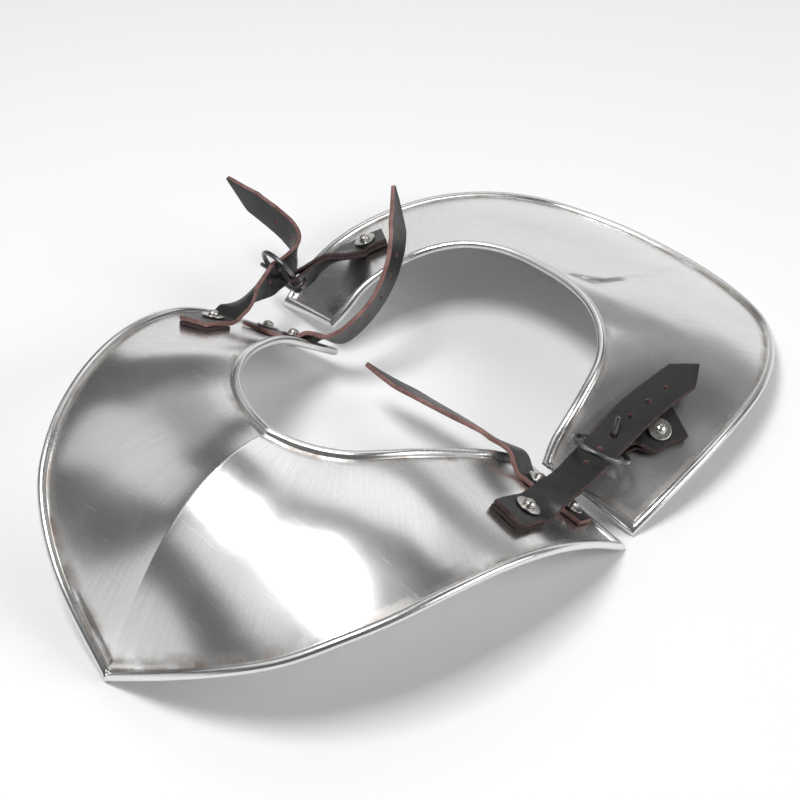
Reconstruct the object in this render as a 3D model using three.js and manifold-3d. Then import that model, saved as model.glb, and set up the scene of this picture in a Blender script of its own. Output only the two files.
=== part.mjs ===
// A steel gorget: a front plate with a medial ridge and a crescent back plate, both with rolled
// edges, laid open with their buckle straps fastened. Millimetres, +Z up, resting on z = 0.
// X runs across the shoulders, the front plate's point is at -Y, the back plate at +Y.
import * as THREE from "three";
import { mergeVertices } from "three/addons/utils/BufferGeometryUtils.js";
import Module from "manifold-3d";

const wasm = await Module();
wasm.setup();

// ---- driving dimensions -------------------------------------------------------------------
const SHEET = 1.6; // plate thickness
const BEAD = 2.2; // radius of the rolled edge
const LEATHER = 2.4;
const STRAP_W = 19;
const CLEAR = 0.3; // gap left between touching pieces
const WASHER_R = 6.2;
const RIVET_R = 3.1;
const SHANK_R = 1.7;
const BACK_TURN = -3.67; // degrees the back plate is turned about Z against the front one
const BUCKLE_RIVET = [102.8, -33.5]; // plan position of the buckle straps' rivets
const END_RIVETS = [[83], [103]]; // the shoulder straps' rivets, along the end of the front plate
const END_LINE = 4.9; // where the shoulder straps cross the end of the front plate
// the folded tabs' rivets, right (A) and left (B), in the back plate's own frame
const TAB_RIVET_A = [106.5, 75.5];
const TAB_RIVET_B = [104.3, 80.5];
const TAB_LEATHER = 2;
const TAB_W = 18;
const FOLD_SAG = 1.1; // how far the ring bows out of a straight line across the tab's fold
const RING_R = 14.3; // ring buckle, to the middle of its wire
const RING_WIRE = 1.25;
const PRONG_WIRE = 1.1;
const PRONG_AT = [91.8, 83.2]; // how far along straps A and B the prong's hole is
const RING_A = [102.2, 31.7, 38.4];
const RING_B = [-117.2, 33.9, 34];

// Each plate is described by the right half: stations from the middle (first) to the end (last).
// neck: point on the neck edge, rim: point on the outer edge, crown: rise of the sheet above the
// straight line between them, lean: how far that rise shifts towards the rim.
const FRONT = {
  neck: [[0, -90, 74], [13, -86, 72.3], [26, -81, 72], [37, -74, 71.7], [45, -64, 70], [51.5, -52, 66],
    [57.5, -35, 57.5], [61.5, -17, 46.5], [60.5, 0, 31.5], [62, 19, 13.5]],
  rim: [[0, -201, -0.4], [43, -190, 27], [78.6, -168, 43.5], [95, -147, 52], [106, -127, 55.7],
    [114.6, -104.6, 58], [122.7, -76, 56.2], [129.2, -44, 46], [132.2, -14, 26.5], [132, 14.6, -0.4]],
  crown: [28, 15, 10, 8, 7, 6, 2, -2, -3, 0],
  lean: [0.35, 0.2, 0.1, 0, 0, 0, 0, 0, 0, 0],
};
const BACK = {
  neck: [[0, 109, 54], [12, 108.5, 54], [24, 106.8, 53.7], [37, 102.5, 52.7], [50, 94, 51], [61.5, 80, 47],
    [67.8, 61, 42.8], [71.3, 44.8, 36.7], [72, 33.8, 28.4], [75, 24.8, 19.8]],
  rim: [[0, 232.8, -0.3], [28, 230.6, 0.6], [56, 224, 2.3], [84, 210.5, 6.2], [106, 185, 12.8],
    [121.7, 152, 18], [129.5, 116, 20.8], [132.7, 82.8, 18.8], [131.5, 56.3, 11.5], [127.8, 34, -0.3]],
  crown: [5, 5, 5, 4.5, 3.5, 2, 0, -1.5, -1, 0],
  lean: [0, 0, 0, 0, 0, 0, 0, 0, 0, 0],
};

// ---- plates -------------------------------------------------------------------------------
const V = (p) => new THREE.Vector3(...p);
const curve = (points, closed = false) => new THREE.CatmullRomCurve3(points, closed, "centripetal");

function sheetSurface(plate) {
  const neck = curve(plate.neck.map(V));
  const rim = curve(plate.rim.map(V));
  const rise = curve(plate.crown.map((c, i) => V([i * 10, c, plate.lean[i] * 10])));
  // u: -1 left end .. 0 middle .. 1 right end; v: 0 neck edge .. 1 outer edge
  return (u, v) => {
    const a = Math.min(Math.abs(u), 1);
    const k = rise.getPoint(a);
    const p = neck.getPoint(a).lerp(rim.getPoint(a), v);
    p.z += 4 * k.y * v * (1 - v) * (1 + (k.z / 10) * v * v);
    if (u < 0) p.x = -p.x;
    return p;
  };
}

function sheetFrame(surface, u, v) {
  const e = 1e-3;
  const p = surface(u, v);
  const du = surface(Math.min(u + e, 1), v).sub(surface(Math.max(u - e, -1), v));
  const dv = surface(u, Math.min(v + e, 1)).sub(surface(u, Math.max(v - e, 0)));
  du.divideScalar(Math.min(u + e, 1) - Math.max(u - e, -1));
  dv.divideScalar(Math.min(v + e, 1) - Math.max(v - e, 0));
  const n = new THREE.Vector3().crossVectors(du, dv);
  const skew = n.length() / (du.length() * dv.length());
  n.normalize();
  if (n.z < 0) n.negate();
  return { p, du, dv, n, skew };
}

// Height of the top and bottom faces at a distance d in from the edge: a wire-rolled bead that
// stands on the outer face and is flush with the inner one.
function beadTop(d) {
  const c = BEAD - SHEET / 2;
  if (d < BEAD) return c + Math.sqrt(Math.max(0, BEAD ** 2 - (BEAD - d) ** 2));
  const x = (d - BEAD) / (1.15 * BEAD);
  return SHEET / 2 + (c + BEAD - SHEET / 2) * Math.sqrt(Math.max(0, 1 - x * x));
}
function beadBottom(d) {
  const c = BEAD - SHEET / 2;
  return d < BEAD ? c - Math.sqrt(Math.max(0, BEAD ** 2 - (BEAD - d) ** 2)) : -SHEET / 2;
}

const FLAT = 99; // stands for "far from every edge"

function rolledPlate(plate, columns, rows) {
  const surface = sheetSurface(plate);
  const steps = [0, 0.16, 1, 1.75, 2.15].map((k) => k * BEAD);
  const { lerp } = THREE.MathUtils;
  const us = [];
  const endU = (d) => {
    const f = sheetFrame(surface, 0.97, 0.5);
    return 1 - d / (f.du.length() * f.skew);
  };
  for (const d of steps) us.push([-endU(d), d]);
  const inner = endU(steps[4]);
  for (let i = 1; i < columns; i++) us.push([lerp(-inner, inner, i / columns), FLAT]);
  for (const d of [...steps].reverse()) us.push([endU(d), d]);
  const top = [], bottom = [];
  for (const [u, dEnd] of us) {
    const a = sheetFrame(surface, u, 0), b = sheetFrame(surface, u, 1);
    const v0 = (d) => d / (a.dv.length() * Math.max(a.skew, 0.6));
    const v1 = (d) => 1 - d / (b.dv.length() * Math.max(b.skew, 0.6));
    const vs = steps.map((d) => [v0(d), d]);
    for (let j = 1; j < rows; j++) vs.push([lerp(v0(steps[4]), v1(steps[4]), j / rows), FLAT]);
    vs.push(...[...steps].reverse().map((d) => [v1(d), d]));
    top.push(vs.map(([v, d]) => {
      const f = sheetFrame(surface, u, v);
      return f.p.addScaledVector(f.n, beadTop(Math.min(d, dEnd)));
    }));
    bottom.push(vs.map(([v, d]) => {
      const f = sheetFrame(surface, u, v);
      return f.p.addScaledVector(f.n, beadBottom(Math.min(d, dEnd)));
    }));
  }
  return plate.rim[0][1] < plate.neck[0][1] ? closedSheet(top, bottom) : closedSheet(bottom, top);
}

// Joins two grids of points that share their border into one closed surface.
function closedSheet(top, bottom) {
  const pos = [], idx = [];
  const m = top.length, n = top[0].length;
  const put = (p) => pos.push(p.x, p.y, p.z) / 3 - 1;
  const T = top.map((row) => row.map(put));
  const B = bottom.map((row, i) => row.map((p, j) =>
    (i === 0 || j === 0 || i === m - 1 || j === n - 1) ? T[i][j] : put(p)));
  for (let i = 0; i < m - 1; i++) for (let j = 0; j < n - 1; j++) {
    idx.push(T[i][j], T[i][j + 1], T[i + 1][j + 1], T[i][j], T[i + 1][j + 1], T[i + 1][j]);
    idx.push(B[i][j], B[i + 1][j + 1], B[i][j + 1], B[i][j], B[i + 1][j], B[i + 1][j + 1]);
  }
  const g = new THREE.BufferGeometry();
  g.setAttribute("position", new THREE.Float32BufferAttribute(pos, 3));
  g.setIndex(idx);
  return g;
}

// ---- shared shapes ------------------------------------------------------------------------
// A closed skin over a row of equal rings of points, with a flat cap at each end.
function loft(rings) {
  const n = rings[0].length, pos = [], idx = [];
  for (const ring of rings) for (const p of ring) pos.push(p.x, p.y, p.z);
  for (let i = 0; i < rings.length - 1; i++) for (let j = 0; j < n; j++) {
    const a = i * n + j, b = i * n + ((j + 1) % n);
    idx.push(a, b, b + n, a, b + n, a + n);
  }
  const last = (rings.length - 1) * n;
  for (let j = 1; j < n - 1; j++) {
    idx.push(0, j + 1, j);
    idx.push(last, last + j, last + j + 1);
  }
  const g = new THREE.BufferGeometry();
  g.setAttribute("position", new THREE.Float32BufferAttribute(pos, 3));
  g.setIndex(idx);
  return g;
}

// A flat strap: its middle line runs through the nodes' points, w is the direction across it.
// taper: length of the pointed tip at the far end (0 for a square end).
function strapFrames(nodes, steps) {
  const line = curve(nodes.map((k) => k.p));
  const across = curve(nodes.map((k) => k.w));
  const breadth = curve(nodes.map((k, i) => V([i, k.breadth ?? 1, 0])));
  const frames = [];
  for (let i = 0; i <= steps; i++) {
    const t = i / steps;
    const p = line.getPoint(t);
    const tangent = line.getTangent(t);
    const w = across.getPoint(t);
    w.addScaledVector(tangent, -w.dot(tangent)).normalize();
    const n = new THREE.Vector3().crossVectors(w, tangent);
    frames.push({ p, tangent, w, n, breadth: breadth.getPoint(t).y });
  }
  return frames;
}

function strap(nodes, { width = STRAP_W, thick = LEATHER, taper = 0, steps = 24 } = {}) {
  const frames = strapFrames(nodes, steps);
  const from = [0];
  for (let i = 1; i < frames.length; i++) {
    from.push(from[i - 1] + frames[i].p.distanceTo(frames[i - 1].p));
  }
  const total = from[from.length - 1];
  return loft(frames.map((f, i) => {
    const left = total - from[i];
    const full = f.breadth * width / 2;
    const half = left < taper ? THREE.MathUtils.lerp(0.08, 1, left / taper) * full : full;
    const at = (a, b) =>
      f.p.clone().addScaledVector(f.w, a * half).addScaledVector(f.n, b * thick / 2);
    return [at(-1, -1), at(-1, 1), at(1, 1), at(1, -1)];
  }));
}

// Lathe about the direction n through p: profile points are [radius, height along n].
function turned(profile, p, n, segments = 20) {
  const g = new THREE.LatheGeometry(profile.map(([r, h]) => new THREE.Vector2(r, h)), segments);
  g.applyQuaternion(new THREE.Quaternion().setFromUnitVectors(new THREE.Vector3(0, 1, 0), n));
  return g.translate(p.x, p.y, p.z);
}

function wire(points, radius, closed = false, steps = 24, sides = 8) {
  const round = new THREE.EllipseCurve(0, 0, radius, radius, 0, 2 * Math.PI).getPoints(sides);
  const section = new THREE.Shape(round.slice(0, sides));
  return new THREE.ExtrudeGeometry(section, {
    steps, bevelEnabled: false, extrudePath: curve(points, closed) });
}

function solid(geometry) {
  const g = geometry.clone();
  for (const name of ["normal", "uv"]) g.deleteAttribute(name);
  const m = mergeVertices(g, 1e-3);
  return new wasm.Manifold(new wasm.Mesh({
    numProp: 3,
    vertProperties: m.attributes.position.array,
    triVerts: new Uint32Array(m.index.array),
  }));
}
function meshOf(body) {
  const m = body.getMesh(), g = new THREE.BufferGeometry();
  g.setAttribute("position", new THREE.BufferAttribute(new Float32Array(m.vertProperties), 3));
  g.setIndex(new THREE.BufferAttribute(new Uint32Array(m.triVerts), 1));
  return g;
}
function pierced(geometry, pins) {
  return meshOf(pins.reduce((body, pin) => body.subtract(solid(pin)), solid(geometry)));
}
const pin = (p, n, radius, reach, segments = 12) =>
  turned([[0, -reach], [radius, -reach], [radius, reach], [0, reach]], p, n, segments);

// ---- where things sit on a plate ----------------------------------------------------------
// The point of the sheet above plan position (x, y), found by stepping along its two directions.
function seat(surface, x, y) {
  let u = x < 0 ? -0.75 : 0.75, v = 0.5;
  for (let i = 0; i < 30; i++) {
    const f = sheetFrame(surface, u, v);
    const ex = x - f.p.x, ey = y - f.p.y, det = f.du.x * f.dv.y - f.du.y * f.dv.x;
    u = THREE.MathUtils.clamp(u + 0.8 * (ex * f.dv.y - ey * f.dv.x) / det, -1, 1);
    v = THREE.MathUtils.clamp(v + 0.8 * (f.du.x * ey - f.du.y * ex) / det, 0, 1);
  }
  const { p, n } = sheetFrame(surface, u, v);
  return { p, n };
}
// A strap node lying on a plate: rise above its middle surface, direction the strap runs in.
function lying(surface, x, y, rise, along) {
  const { p, n } = seat(surface, x, y);
  return { p: p.addScaledVector(n, rise), w: V(along).cross(n).normalize(), n };
}
const free = (p, w) => ({ p: V(p), w: V(w).normalize() });

// A rivet with its washer on top of a stack of leather: the stack's top is `rise` above the sheet.
function rivet(at, rise, below = SHEET / 2 + CLEAR) {
  const top = rise + CLEAR + 1.0;
  return {
    washer: turned([[2.0, rise + CLEAR], [WASHER_R, rise + CLEAR], [WASHER_R, rise + CLEAR + 0.7],
      [WASHER_R - 0.7, top], [2.0, top], [2.0, rise + CLEAR]], at.p, at.n, 18),
    rivet: turned([[0, -below - 1.3], [2.5, -below - 1.3], [2.9, -below], [SHANK_R, -below],
      [SHANK_R, top + CLEAR], [RIVET_R, top + CLEAR], [RIVET_R * 0.92, top + 1.4],
      [RIVET_R * 0.6, top + 2.3], [0, top + 2.7]], at.p, at.n, 12),
    hole: pin(at.p, at.n, 2.0, 14, 12),
  };
}

// ---- the gorget ---------------------------------------------------------------------------
const STEEL = new THREE.MeshStandardMaterial({ color: 0xc9c8c4, metalness: 1, roughness: 0.28 });
const DARK_STEEL = new THREE.MeshStandardMaterial({ color: 0x77797c, metalness: 1, roughness: 0.35 });
const BLACK_LEATHER = new THREE.MeshStandardMaterial({ color: 0x16161a, metalness: 0, roughness: 0.55 });

const gorget = new THREE.Group();
const laidOut = new THREE.Group(); // built about the front plate's middle line, then centred below
gorget.add(laidOut);
function place(name, geometry, material) {
  const mesh = new THREE.Mesh(geometry, material);
  mesh.name = name;
  laidOut.add(mesh);
}

// The back plate lies a little turned against the front one.
const backSet = new THREE.Matrix4().makeRotationZ(THREE.MathUtils.degToRad(BACK_TURN));
const front = sheetSurface(FRONT);
const backLocal = sheetSurface(BACK);
const back = (u, v) => backLocal(u, v).applyMatrix4(backSet);

const PAD = 2.0;
const STACK = SHEET / 2 + CLEAR; // underside of the first leather above the middle surface
const onPad = STACK + PAD + 0.4 + LEATHER / 2;
const offPad = onPad + 0.8; // where a buckle strap lifts off its pad
const frontHoles = [], backHoles = [];

// buckle straps A (right) and B (left), each riveted near the crest of the front plate
const rightSeat = seat(front, ...BUCKLE_RIVET);
const leftSeat = seat(front, -BUCKLE_RIVET[0], BUCKLE_RIVET[1]);
const Y = [0, 1, 0];
const strapA = [
  ...[[102.3, -46.5], [102.6, -40], BUCKLE_RIVET].map(([x, y]) => lying(front, x, y, onPad, Y)),
  lying(front, 103.4, -27, offPad, Y),
  free([105, -14, 45], [1, -0.06, 0]),
  free([105.3, 2, 42.5], [1, -0.1, 0.08]),
  free([103.4, 18, 40], [1, -0.1, 0.06]),
  free([102.2, 31.7, 38.6], [1, 0, 0]),
  free([101.8, 43.4, 38.8], [1, 0.05, -0.1]),
  free([101.8, 57, 41], [1, 0.15, -0.22]),
  free([102.8, 72, 42.4], [1, 0.15, -0.2]),
  free([104.6, 90, 43], [1, 0.12, -0.2]),
  free([107.2, 110.5, 43], [1, 0.1, -0.2]),
];
const strapB = [
  ...[[-102.3, -46.5], [-102.6, -40], [-BUCKLE_RIVET[0], BUCKLE_RIVET[1]]].map(([x, y]) =>
    lying(front, x, y, onPad, Y)),
  lying(front, -102.9, -27, offPad, Y),
  free([-103.5, -16, 46], [1, 0, 0.25]),
  free([-107.5, -2, 43.6], [0.6, 0, 0.8]),
  free([-112.8, 17, 38.3], [0.12, 0, 1]),
  free([-116.6, 28, 34.6], [-0.05, -0.2, 1]),
  free([-117.6, 37, 33.9], [0, -0.2, 1]),
  free([-120, 46.5, 35.4], [0.1, 0, 1]),
  free([-124, 52.3, 39.5], [0.25, 0, 0.97]),
  free([-130.5, 54, 44], [0.35, 0, 0.95]),
  free([-140.5, 52.4, 50], [0.45, 0, 0.9]),
  free([-153.5, 49.3, 57], [0.5, 0, 0.87]),
  free([-170.7, 46.9, 67], [0.5, 0, 0.87]),
];

// shoulder straps C (left, curling up) and D (right, straight), each held by two rivets along
// the end of the front plate
const onFlange = STACK + LEATHER / 2 + 0.4;
const TO_LEFT = [-1, 0, 0], TO_RIGHT = [1, 0, 0];
const overBead = SHEET / 2 + 2 * BEAD + CLEAR + LEATHER / 2 + 0.9;
const endSpots = [113, END_RIVETS[1][0], END_RIVETS[0][0], 76];
const strapD = [
  ...endSpots.map((x) => lying(front, x, END_LINE, onFlange, TO_LEFT)),
  lying(front, 66, END_LINE, overBead, TO_LEFT),
  free([55, 9, 31], [0, 0.66, -0.75]),
  free([45, 8.6, 32.2], [0, 0.66, -0.75]),
  free([33, 8, 32.6], [0, 0.7, -0.7]),
  free([7, 8, 31.8], [0, 0.74, -0.66]),
  free([-14, 8, 31.6], [0, 0.74, -0.66]),
  free([-30, 8, 33], [0, 0.74, -0.66]),
];
const strapC = [
  ...endSpots.map((x) => lying(front, -x, END_LINE, onFlange, TO_RIGHT)),
  lying(front, -67, END_LINE, overBead, TO_RIGHT),
  free([-59.5, 14, 30], [0.05, -0.7, 0.7]),
  free([-54.4, 17.8, 33.7], [0.1, -0.72, 0.68]),
  free([-49, 26.2, 42.2], [0.15, -0.74, 0.64]),
  free([-46, 36.3, 52.5], [0.2, -0.75, 0.6]),
  free([-47.1, 47.1, 63.4], [0.2, -0.76, 0.6]),
  free([-52.3, 58, 74.5], [0.15, -0.76, 0.62]),
  free([-60.9, 67.1, 83.7], [0.1, -0.76, 0.64]),
  free([-70.1, 75.3, 91.9], [0.1, -0.76, 0.64]),
];

// holes punched along the straps, at distances from the riveted end
function punched(nodes, distances, radius = 1.4) {
  const frames = strapFrames(nodes, 200), pins = [];
  let run = 0, next = 0;
  for (let i = 1; i < frames.length && next < distances.length; i++) {
    run += frames[i].p.distanceTo(frames[i - 1].p);
    if (run >= distances[next]) {
      pins.push(pin(frames[i].p, frames[i].n, radius, 3, 7));
      next++;
    }
  }
  return pins;
}

// rivets, washers and pads
function fasten(tag, at, rise, holes) {
  const set = rivet(at, rise);
  place("washer_" + tag, set.washer, STEEL);
  place("rivet_" + tag, set.rivet, STEEL);
  holes.push(set.hole);
  return set.hole;
}
const flatTop = STACK + LEATHER + 0.4;
const holeA = fasten("strap_a", rightSeat, onPad + LEATHER / 2, frontHoles);
const holeB = fasten("strap_b", leftSeat, onPad + LEATHER / 2, frontHoles);
const endRivets = (tag, side) => END_RIVETS.map(([x], i) =>
  fasten(tag + (i + 1), seat(front, side * x, END_LINE), flatTop, frontHoles));
const holesD = endRivets("strap_d", 1);
const holesC = endRivets("strap_c", -1);
const padNodes = (side) => [-46.5, -40, BUCKLE_RIVET[1], -30].map((y) =>
  lying(front, side * (BUCKLE_RIVET[0] - 0.5 + (y > -34 ? 0.5 : 0)), y, STACK + PAD / 2, Y));
place("pad_a", pierced(strap(padNodes(1), { thick: PAD, steps: 8 }), [holeA]), BLACK_LEATHER);
place("pad_b", pierced(strap(padNodes(-1), { thick: PAD, steps: 8 }), [holeB]), BLACK_LEATHER);

const HOLE_STEP = 13.5;
const holesA = [-2, -1, 1, 2, 3].map((i) => PRONG_AT[0] + HOLE_STEP * i);
const holesB = [-1, 1, 2, 3].map((i) => PRONG_AT[1] + HOLE_STEP * i);
// ring buckles: a wire ring, a prong looped round it, and a folded tab riveted to the back plate
const across = (a, b) => new THREE.Vector3().crossVectors(a, b);
function ringBuckle(tag, centre, toTip, up, tongue, tab) {
  const a1 = toTip.clone().normalize();
  const n = across(a1, up).normalize();
  const a2 = across(n, a1);
  const basis = new THREE.Matrix4().makeBasis(a1, a2, n).setPosition(centre);
  place("ring_" + tag, new THREE.TorusGeometry(RING_R, RING_WIRE, 7, 32).applyMatrix4(basis), DARK_STEEL);
  const bar = centre.clone().addScaledVector(a1, -RING_R);
  const eye = RING_WIRE + CLEAR + PRONG_WIRE;
  const loop = (deg) => bar.clone().addScaledVector(a1, Math.cos(deg * Math.PI / 180) * eye)
    .addScaledVector(n, Math.sin(deg * Math.PI / 180) * eye);
  const turn = tongue.turn;
  const coil = Array.from({ length: 9 }, (_, i) => loop(turn.from + (turn.to - turn.from) * i / 8));
  place("prong_" + tag, wire([...coil, ...tongue.reach], PRONG_WIRE, false, 30, 6), DARK_STEEL);
  const fold = RING_WIRE + CLEAR + FOLD_SAG / 2 + TAB_LEATHER / 2;
  const foldAt = bar.clone().addScaledVector(a1, FOLD_SAG / 2);
  const round = Array.from({ length: 7 }, (_, i) => {
    const q = (tab.from + (tab.to - tab.from) * i / 6) * Math.PI / 180;
    const p = foldAt.clone().addScaledVector(a1, Math.cos(q) * fold);
    p.addScaledVector(n, Math.sin(q) * fold);
    return { p, w: a2.clone().multiplyScalar(-1), breadth: 0.56 };
  });
  const nodes = [...tab.under, ...round, ...tab.over];
  const body = strap(nodes, { thick: TAB_LEATHER, width: TAB_W, steps: 38 });
  const slot = new THREE.BoxGeometry(9.5, 2 * PRONG_WIRE + 1.2, 9.5).applyMatrix4(
    new THREE.Matrix4().makeBasis(a1, a2, n).setPosition(bar));
  place("tab_" + tag, pierced(body, [slot, tab.hole]), BLACK_LEATHER);
}
const low = STACK + TAB_LEATHER / 2 + 0.65; // the tab's under layer, and its upper one
const high = low + TAB_LEATHER + CLEAR;
const tabHole = {};
for (const [tag, side, spot] of [["a", 1, TAB_RIVET_A], ["b", -1, TAB_RIVET_B]]) {
  const local = seat(backLocal, side * spot[0], spot[1]);
  const at = { p: local.p.applyMatrix4(backSet), n: local.n.transformDirection(backSet) };
  tabHole[tag] = fasten("tab_" + tag, at, high + TAB_LEATHER / 2 + 0.1, backHoles);
}
const onBack = (x, y, rise, along) => {
  const k = lying(backLocal, x, y, rise, along);
  return { p: k.p.applyMatrix4(backSet), w: k.w.transformDirection(backSet) };
};
const tabRow = (side, spots, rise, along) => spots.map(([x, y]) => onBack(side * x, y, rise, along));

const neckDown = (p) => ({ ...free(p, [-0.93, 0.2, 0.3]), breadth: 0.72 });
const ringA = V(RING_A);
const dropA = V([0, -Math.cos(0.61), Math.sin(0.61)]); // the ring slopes down from strap A's rivet
const nearRingA = (x, y, z) => ringA.clone().add(V([x, y, z]));
const spotsA = [[110.5, 87.5], [108.1, 81], TAB_RIVET_A, [104.6, 69.5]];
ringBuckle("a", ringA, dropA, V([1, 0, 0]), {
  turn: { from: -150, to: 120 },
  reach: [nearRingA(0, 10.9, -3.5), nearRingA(0, 11.2, 1), nearRingA(-0.6, 13, 6),
    nearRingA(-1.2, 15.6, 10.5)],
}, {
  under: [...tabRow(1, spotsA, low, [0.2, -1, 0]), neckDown([105.4, 55, 30.4])],
  over: [neckDown([105.4, 55, 33.8]), ...tabRow(1, [...spotsA].reverse(), high, [0.2, -1, 0])],
  from: -128,
  to: 58,
  hole: tabHole.a,
});

// the left tab turns on edge between its rivet and the upright ring
const ringB = V(RING_B);
const tipB = V([-0.98, 0.16, -0.1]).normalize();
const upB = V([-0.05, -0.34, 0.94]);
const normalB = across(tipB, upB).normalize();
const twist = (p, w, gap, breadth) => {
  const n = V(w).cross(V([0, -1, 0])).normalize();
  return [-1, 1].map((s) => ({ p: V(p).addScaledVector(n, s * gap / 2), w: V(w).normalize(), breadth }));
};
const twists = [
  twist([-101.8, 67, 33.6], [-0.88, 0, -0.48], TAB_LEATHER + CLEAR, 0.95),
  twist([-104.2, 54, 35], [-0.45, 0, -0.9], TAB_LEATHER + CLEAR, 0.8),
  twist([-103.4, 42, 35.6], [-0.05, 0.25, -0.97], 3.4, 0.62),
];
const spotsB = [[98.7, 89.5], [101.5, 85], TAB_RIVET_B, [106, 75.5]];
const strapHoleB = ringB.clone().addScaledVector(normalB, -(RING_WIRE + CLEAR + PRONG_WIRE));
ringBuckle("b", ringB, tipB, upB, {
  turn: { from: 0, to: 270 },
  reach: [8, 15, 22, 31.5].map((k) => strapHoleB.clone().addScaledVector(tipB, k - RING_R)),
}, {
  under: [...tabRow(-1, spotsB, low, [-0.45, -1, 0]), ...twists.map((k) => k[0])],
  over: [...[...twists].reverse().map((k) => k[1]),
    ...tabRow(-1, [...spotsB].reverse(), high, [-0.45, -1, 0])],
  from: 180,
  to: 360,
  hole: tabHole.b,
});

const placeStrap = (tag, nodes, sizes, pins) =>
  place("strap_" + tag, pierced(strap(nodes, sizes), pins), BLACK_LEATHER);
placeStrap("a", strapA, { taper: 13, steps: 34 },
  [holeA, pin(nearRingA(0, 11.1, 0.6), V([0, 0, 1]), 1.9, 4), ...punched(strapA, holesA)]);
placeStrap("b", strapB, { taper: 20, steps: 40 },
  [holeB, pin(strapHoleB, tipB, 1.9, 4), ...punched(strapB, holesB)]);
placeStrap("c", strapC, { taper: 24, steps: 36 },
  [...holesC, ...punched(strapC, [58, 70, 82, 94, 106, 118, 130])]);
placeStrap("d", strapD, { taper: 24, steps: 30 }, holesD);

place("front_plate", pierced(rolledPlate(FRONT, 38, 7), frontHoles), STEEL);
place("back_plate", pierced(rolledPlate(BACK, 36, 6).applyMatrix4(backSet), backHoles), STEEL);

// the origin is under the middle of the whole, on the surface that it rests on
const whole = new THREE.Box3().setFromObject(laidOut, true);
laidOut.position.set(-(whole.min.x + whole.max.x) / 2, -(whole.min.y + whole.max.y) / 2, -whole.min.z);

export default gorget;
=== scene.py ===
"""Looks of a steel gorget laid open on a pale floor: two polished plates with rolled edges, black
leather straps with raw cut edges, dark wire ring buckles, and domed rivets on washers.

Metres, +Z up. Each plate is a surface over (u, v): u runs -1 .. 0 .. 1 from its left end past its
middle to its right end, and v from 0 at the neck edge to 1 at the outer edge. Lengths of the
gorget's own pieces are named in millimetres (MM), as its maker would measure them.
"""
import math

import bmesh
import bpy
import numpy as np
from mathutils import Matrix, Vector


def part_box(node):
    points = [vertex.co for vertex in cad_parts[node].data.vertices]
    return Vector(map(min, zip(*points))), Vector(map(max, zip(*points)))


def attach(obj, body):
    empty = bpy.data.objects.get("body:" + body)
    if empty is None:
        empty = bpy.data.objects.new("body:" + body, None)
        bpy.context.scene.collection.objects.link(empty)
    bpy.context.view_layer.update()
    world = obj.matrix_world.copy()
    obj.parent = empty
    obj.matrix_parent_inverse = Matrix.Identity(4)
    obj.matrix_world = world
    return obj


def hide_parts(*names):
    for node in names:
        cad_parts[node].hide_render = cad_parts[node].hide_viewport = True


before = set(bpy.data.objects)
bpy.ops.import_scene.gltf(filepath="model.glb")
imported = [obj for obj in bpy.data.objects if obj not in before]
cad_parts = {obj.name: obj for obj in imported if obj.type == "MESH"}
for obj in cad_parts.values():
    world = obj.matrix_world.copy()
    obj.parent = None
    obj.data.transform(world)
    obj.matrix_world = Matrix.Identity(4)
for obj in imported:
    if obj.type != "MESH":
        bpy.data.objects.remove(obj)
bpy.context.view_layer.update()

MM = 0.001

# ---- sizes, in millimetres -------------------------------------------------------------------
SHEET = 1.6
BEAD = 2.2
LEATHER = 2.4
STRAP_W = 19
CLEAR = 0.3
PAD = 2.0
TAB_LEATHER = 2.0
TAB_W = 18
WASHER_R = 6.2
RIVET_R = 3.1
RING_R = 14.3
RING_WIRE = 1.25
PRONG_WIRE = 1.1
FOLD_SAG = 1.1
BACK_TURN = math.radians(-3.67)

FRONT = {
    "neck": [(0, -90, 74), (13, -86, 72.3), (26, -81, 72), (37, -74, 71.7), (45, -64, 70),
             (51.5, -52, 66), (57.5, -35, 57.5), (61.5, -17, 46.5), (60.5, 0, 31.5), (62, 19, 13.5)],
    "rim": [(0, -201, -0.4), (43, -190, 27), (78.6, -168, 43.5), (95, -147, 52), (106, -127, 55.7),
            (114.6, -104.6, 58), (122.7, -76, 56.2), (129.2, -44, 46), (132.2, -14, 26.5),
            (132, 14.6, -0.4)],
    "crown": [28, 15, 10, 8, 7, 6, 2, -2, -3, 0],
    "lean": [0.35, 0.2, 0.1, 0, 0, 0, 0, 0, 0, 0],
    "ridged": True,
}
BACK = {
    "neck": [(0, 109, 54), (12, 108.5, 54), (24, 106.8, 53.7), (37, 102.5, 52.7), (50, 94, 51),
             (61.5, 80, 47), (67.8, 61, 42.8), (71.3, 44.8, 36.7), (72, 33.8, 28.4), (75, 24.8, 19.8)],
    "rim": [(0, 232.8, -0.3), (28, 230.6, 0.6), (56, 224, 2.3), (84, 210.5, 6.2), (106, 185, 12.8),
            (121.7, 152, 18), (129.5, 116, 20.8), (132.7, 82.8, 18.8), (131.5, 56.3, 11.5),
            (127.8, 34, -0.3)],
    "crown": [5, 5, 5, 4.5, 3.5, 2, 0, -1.5, -1, 0],
    "lean": [0] * 10,
    "ridged": False,
}


def turn_z(points, angle):
    """Points turned about the Z axis."""
    c, s = math.cos(angle), math.sin(angle)
    x, y, z = np.moveaxis(np.asarray(points, float), -1, 0)
    return np.stack([c * x - s * y, s * x + c * y, z], -1)


def unit(v):
    v = np.asarray(v, float)
    return v / np.linalg.norm(v, axis=-1, keepdims=True)


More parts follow.
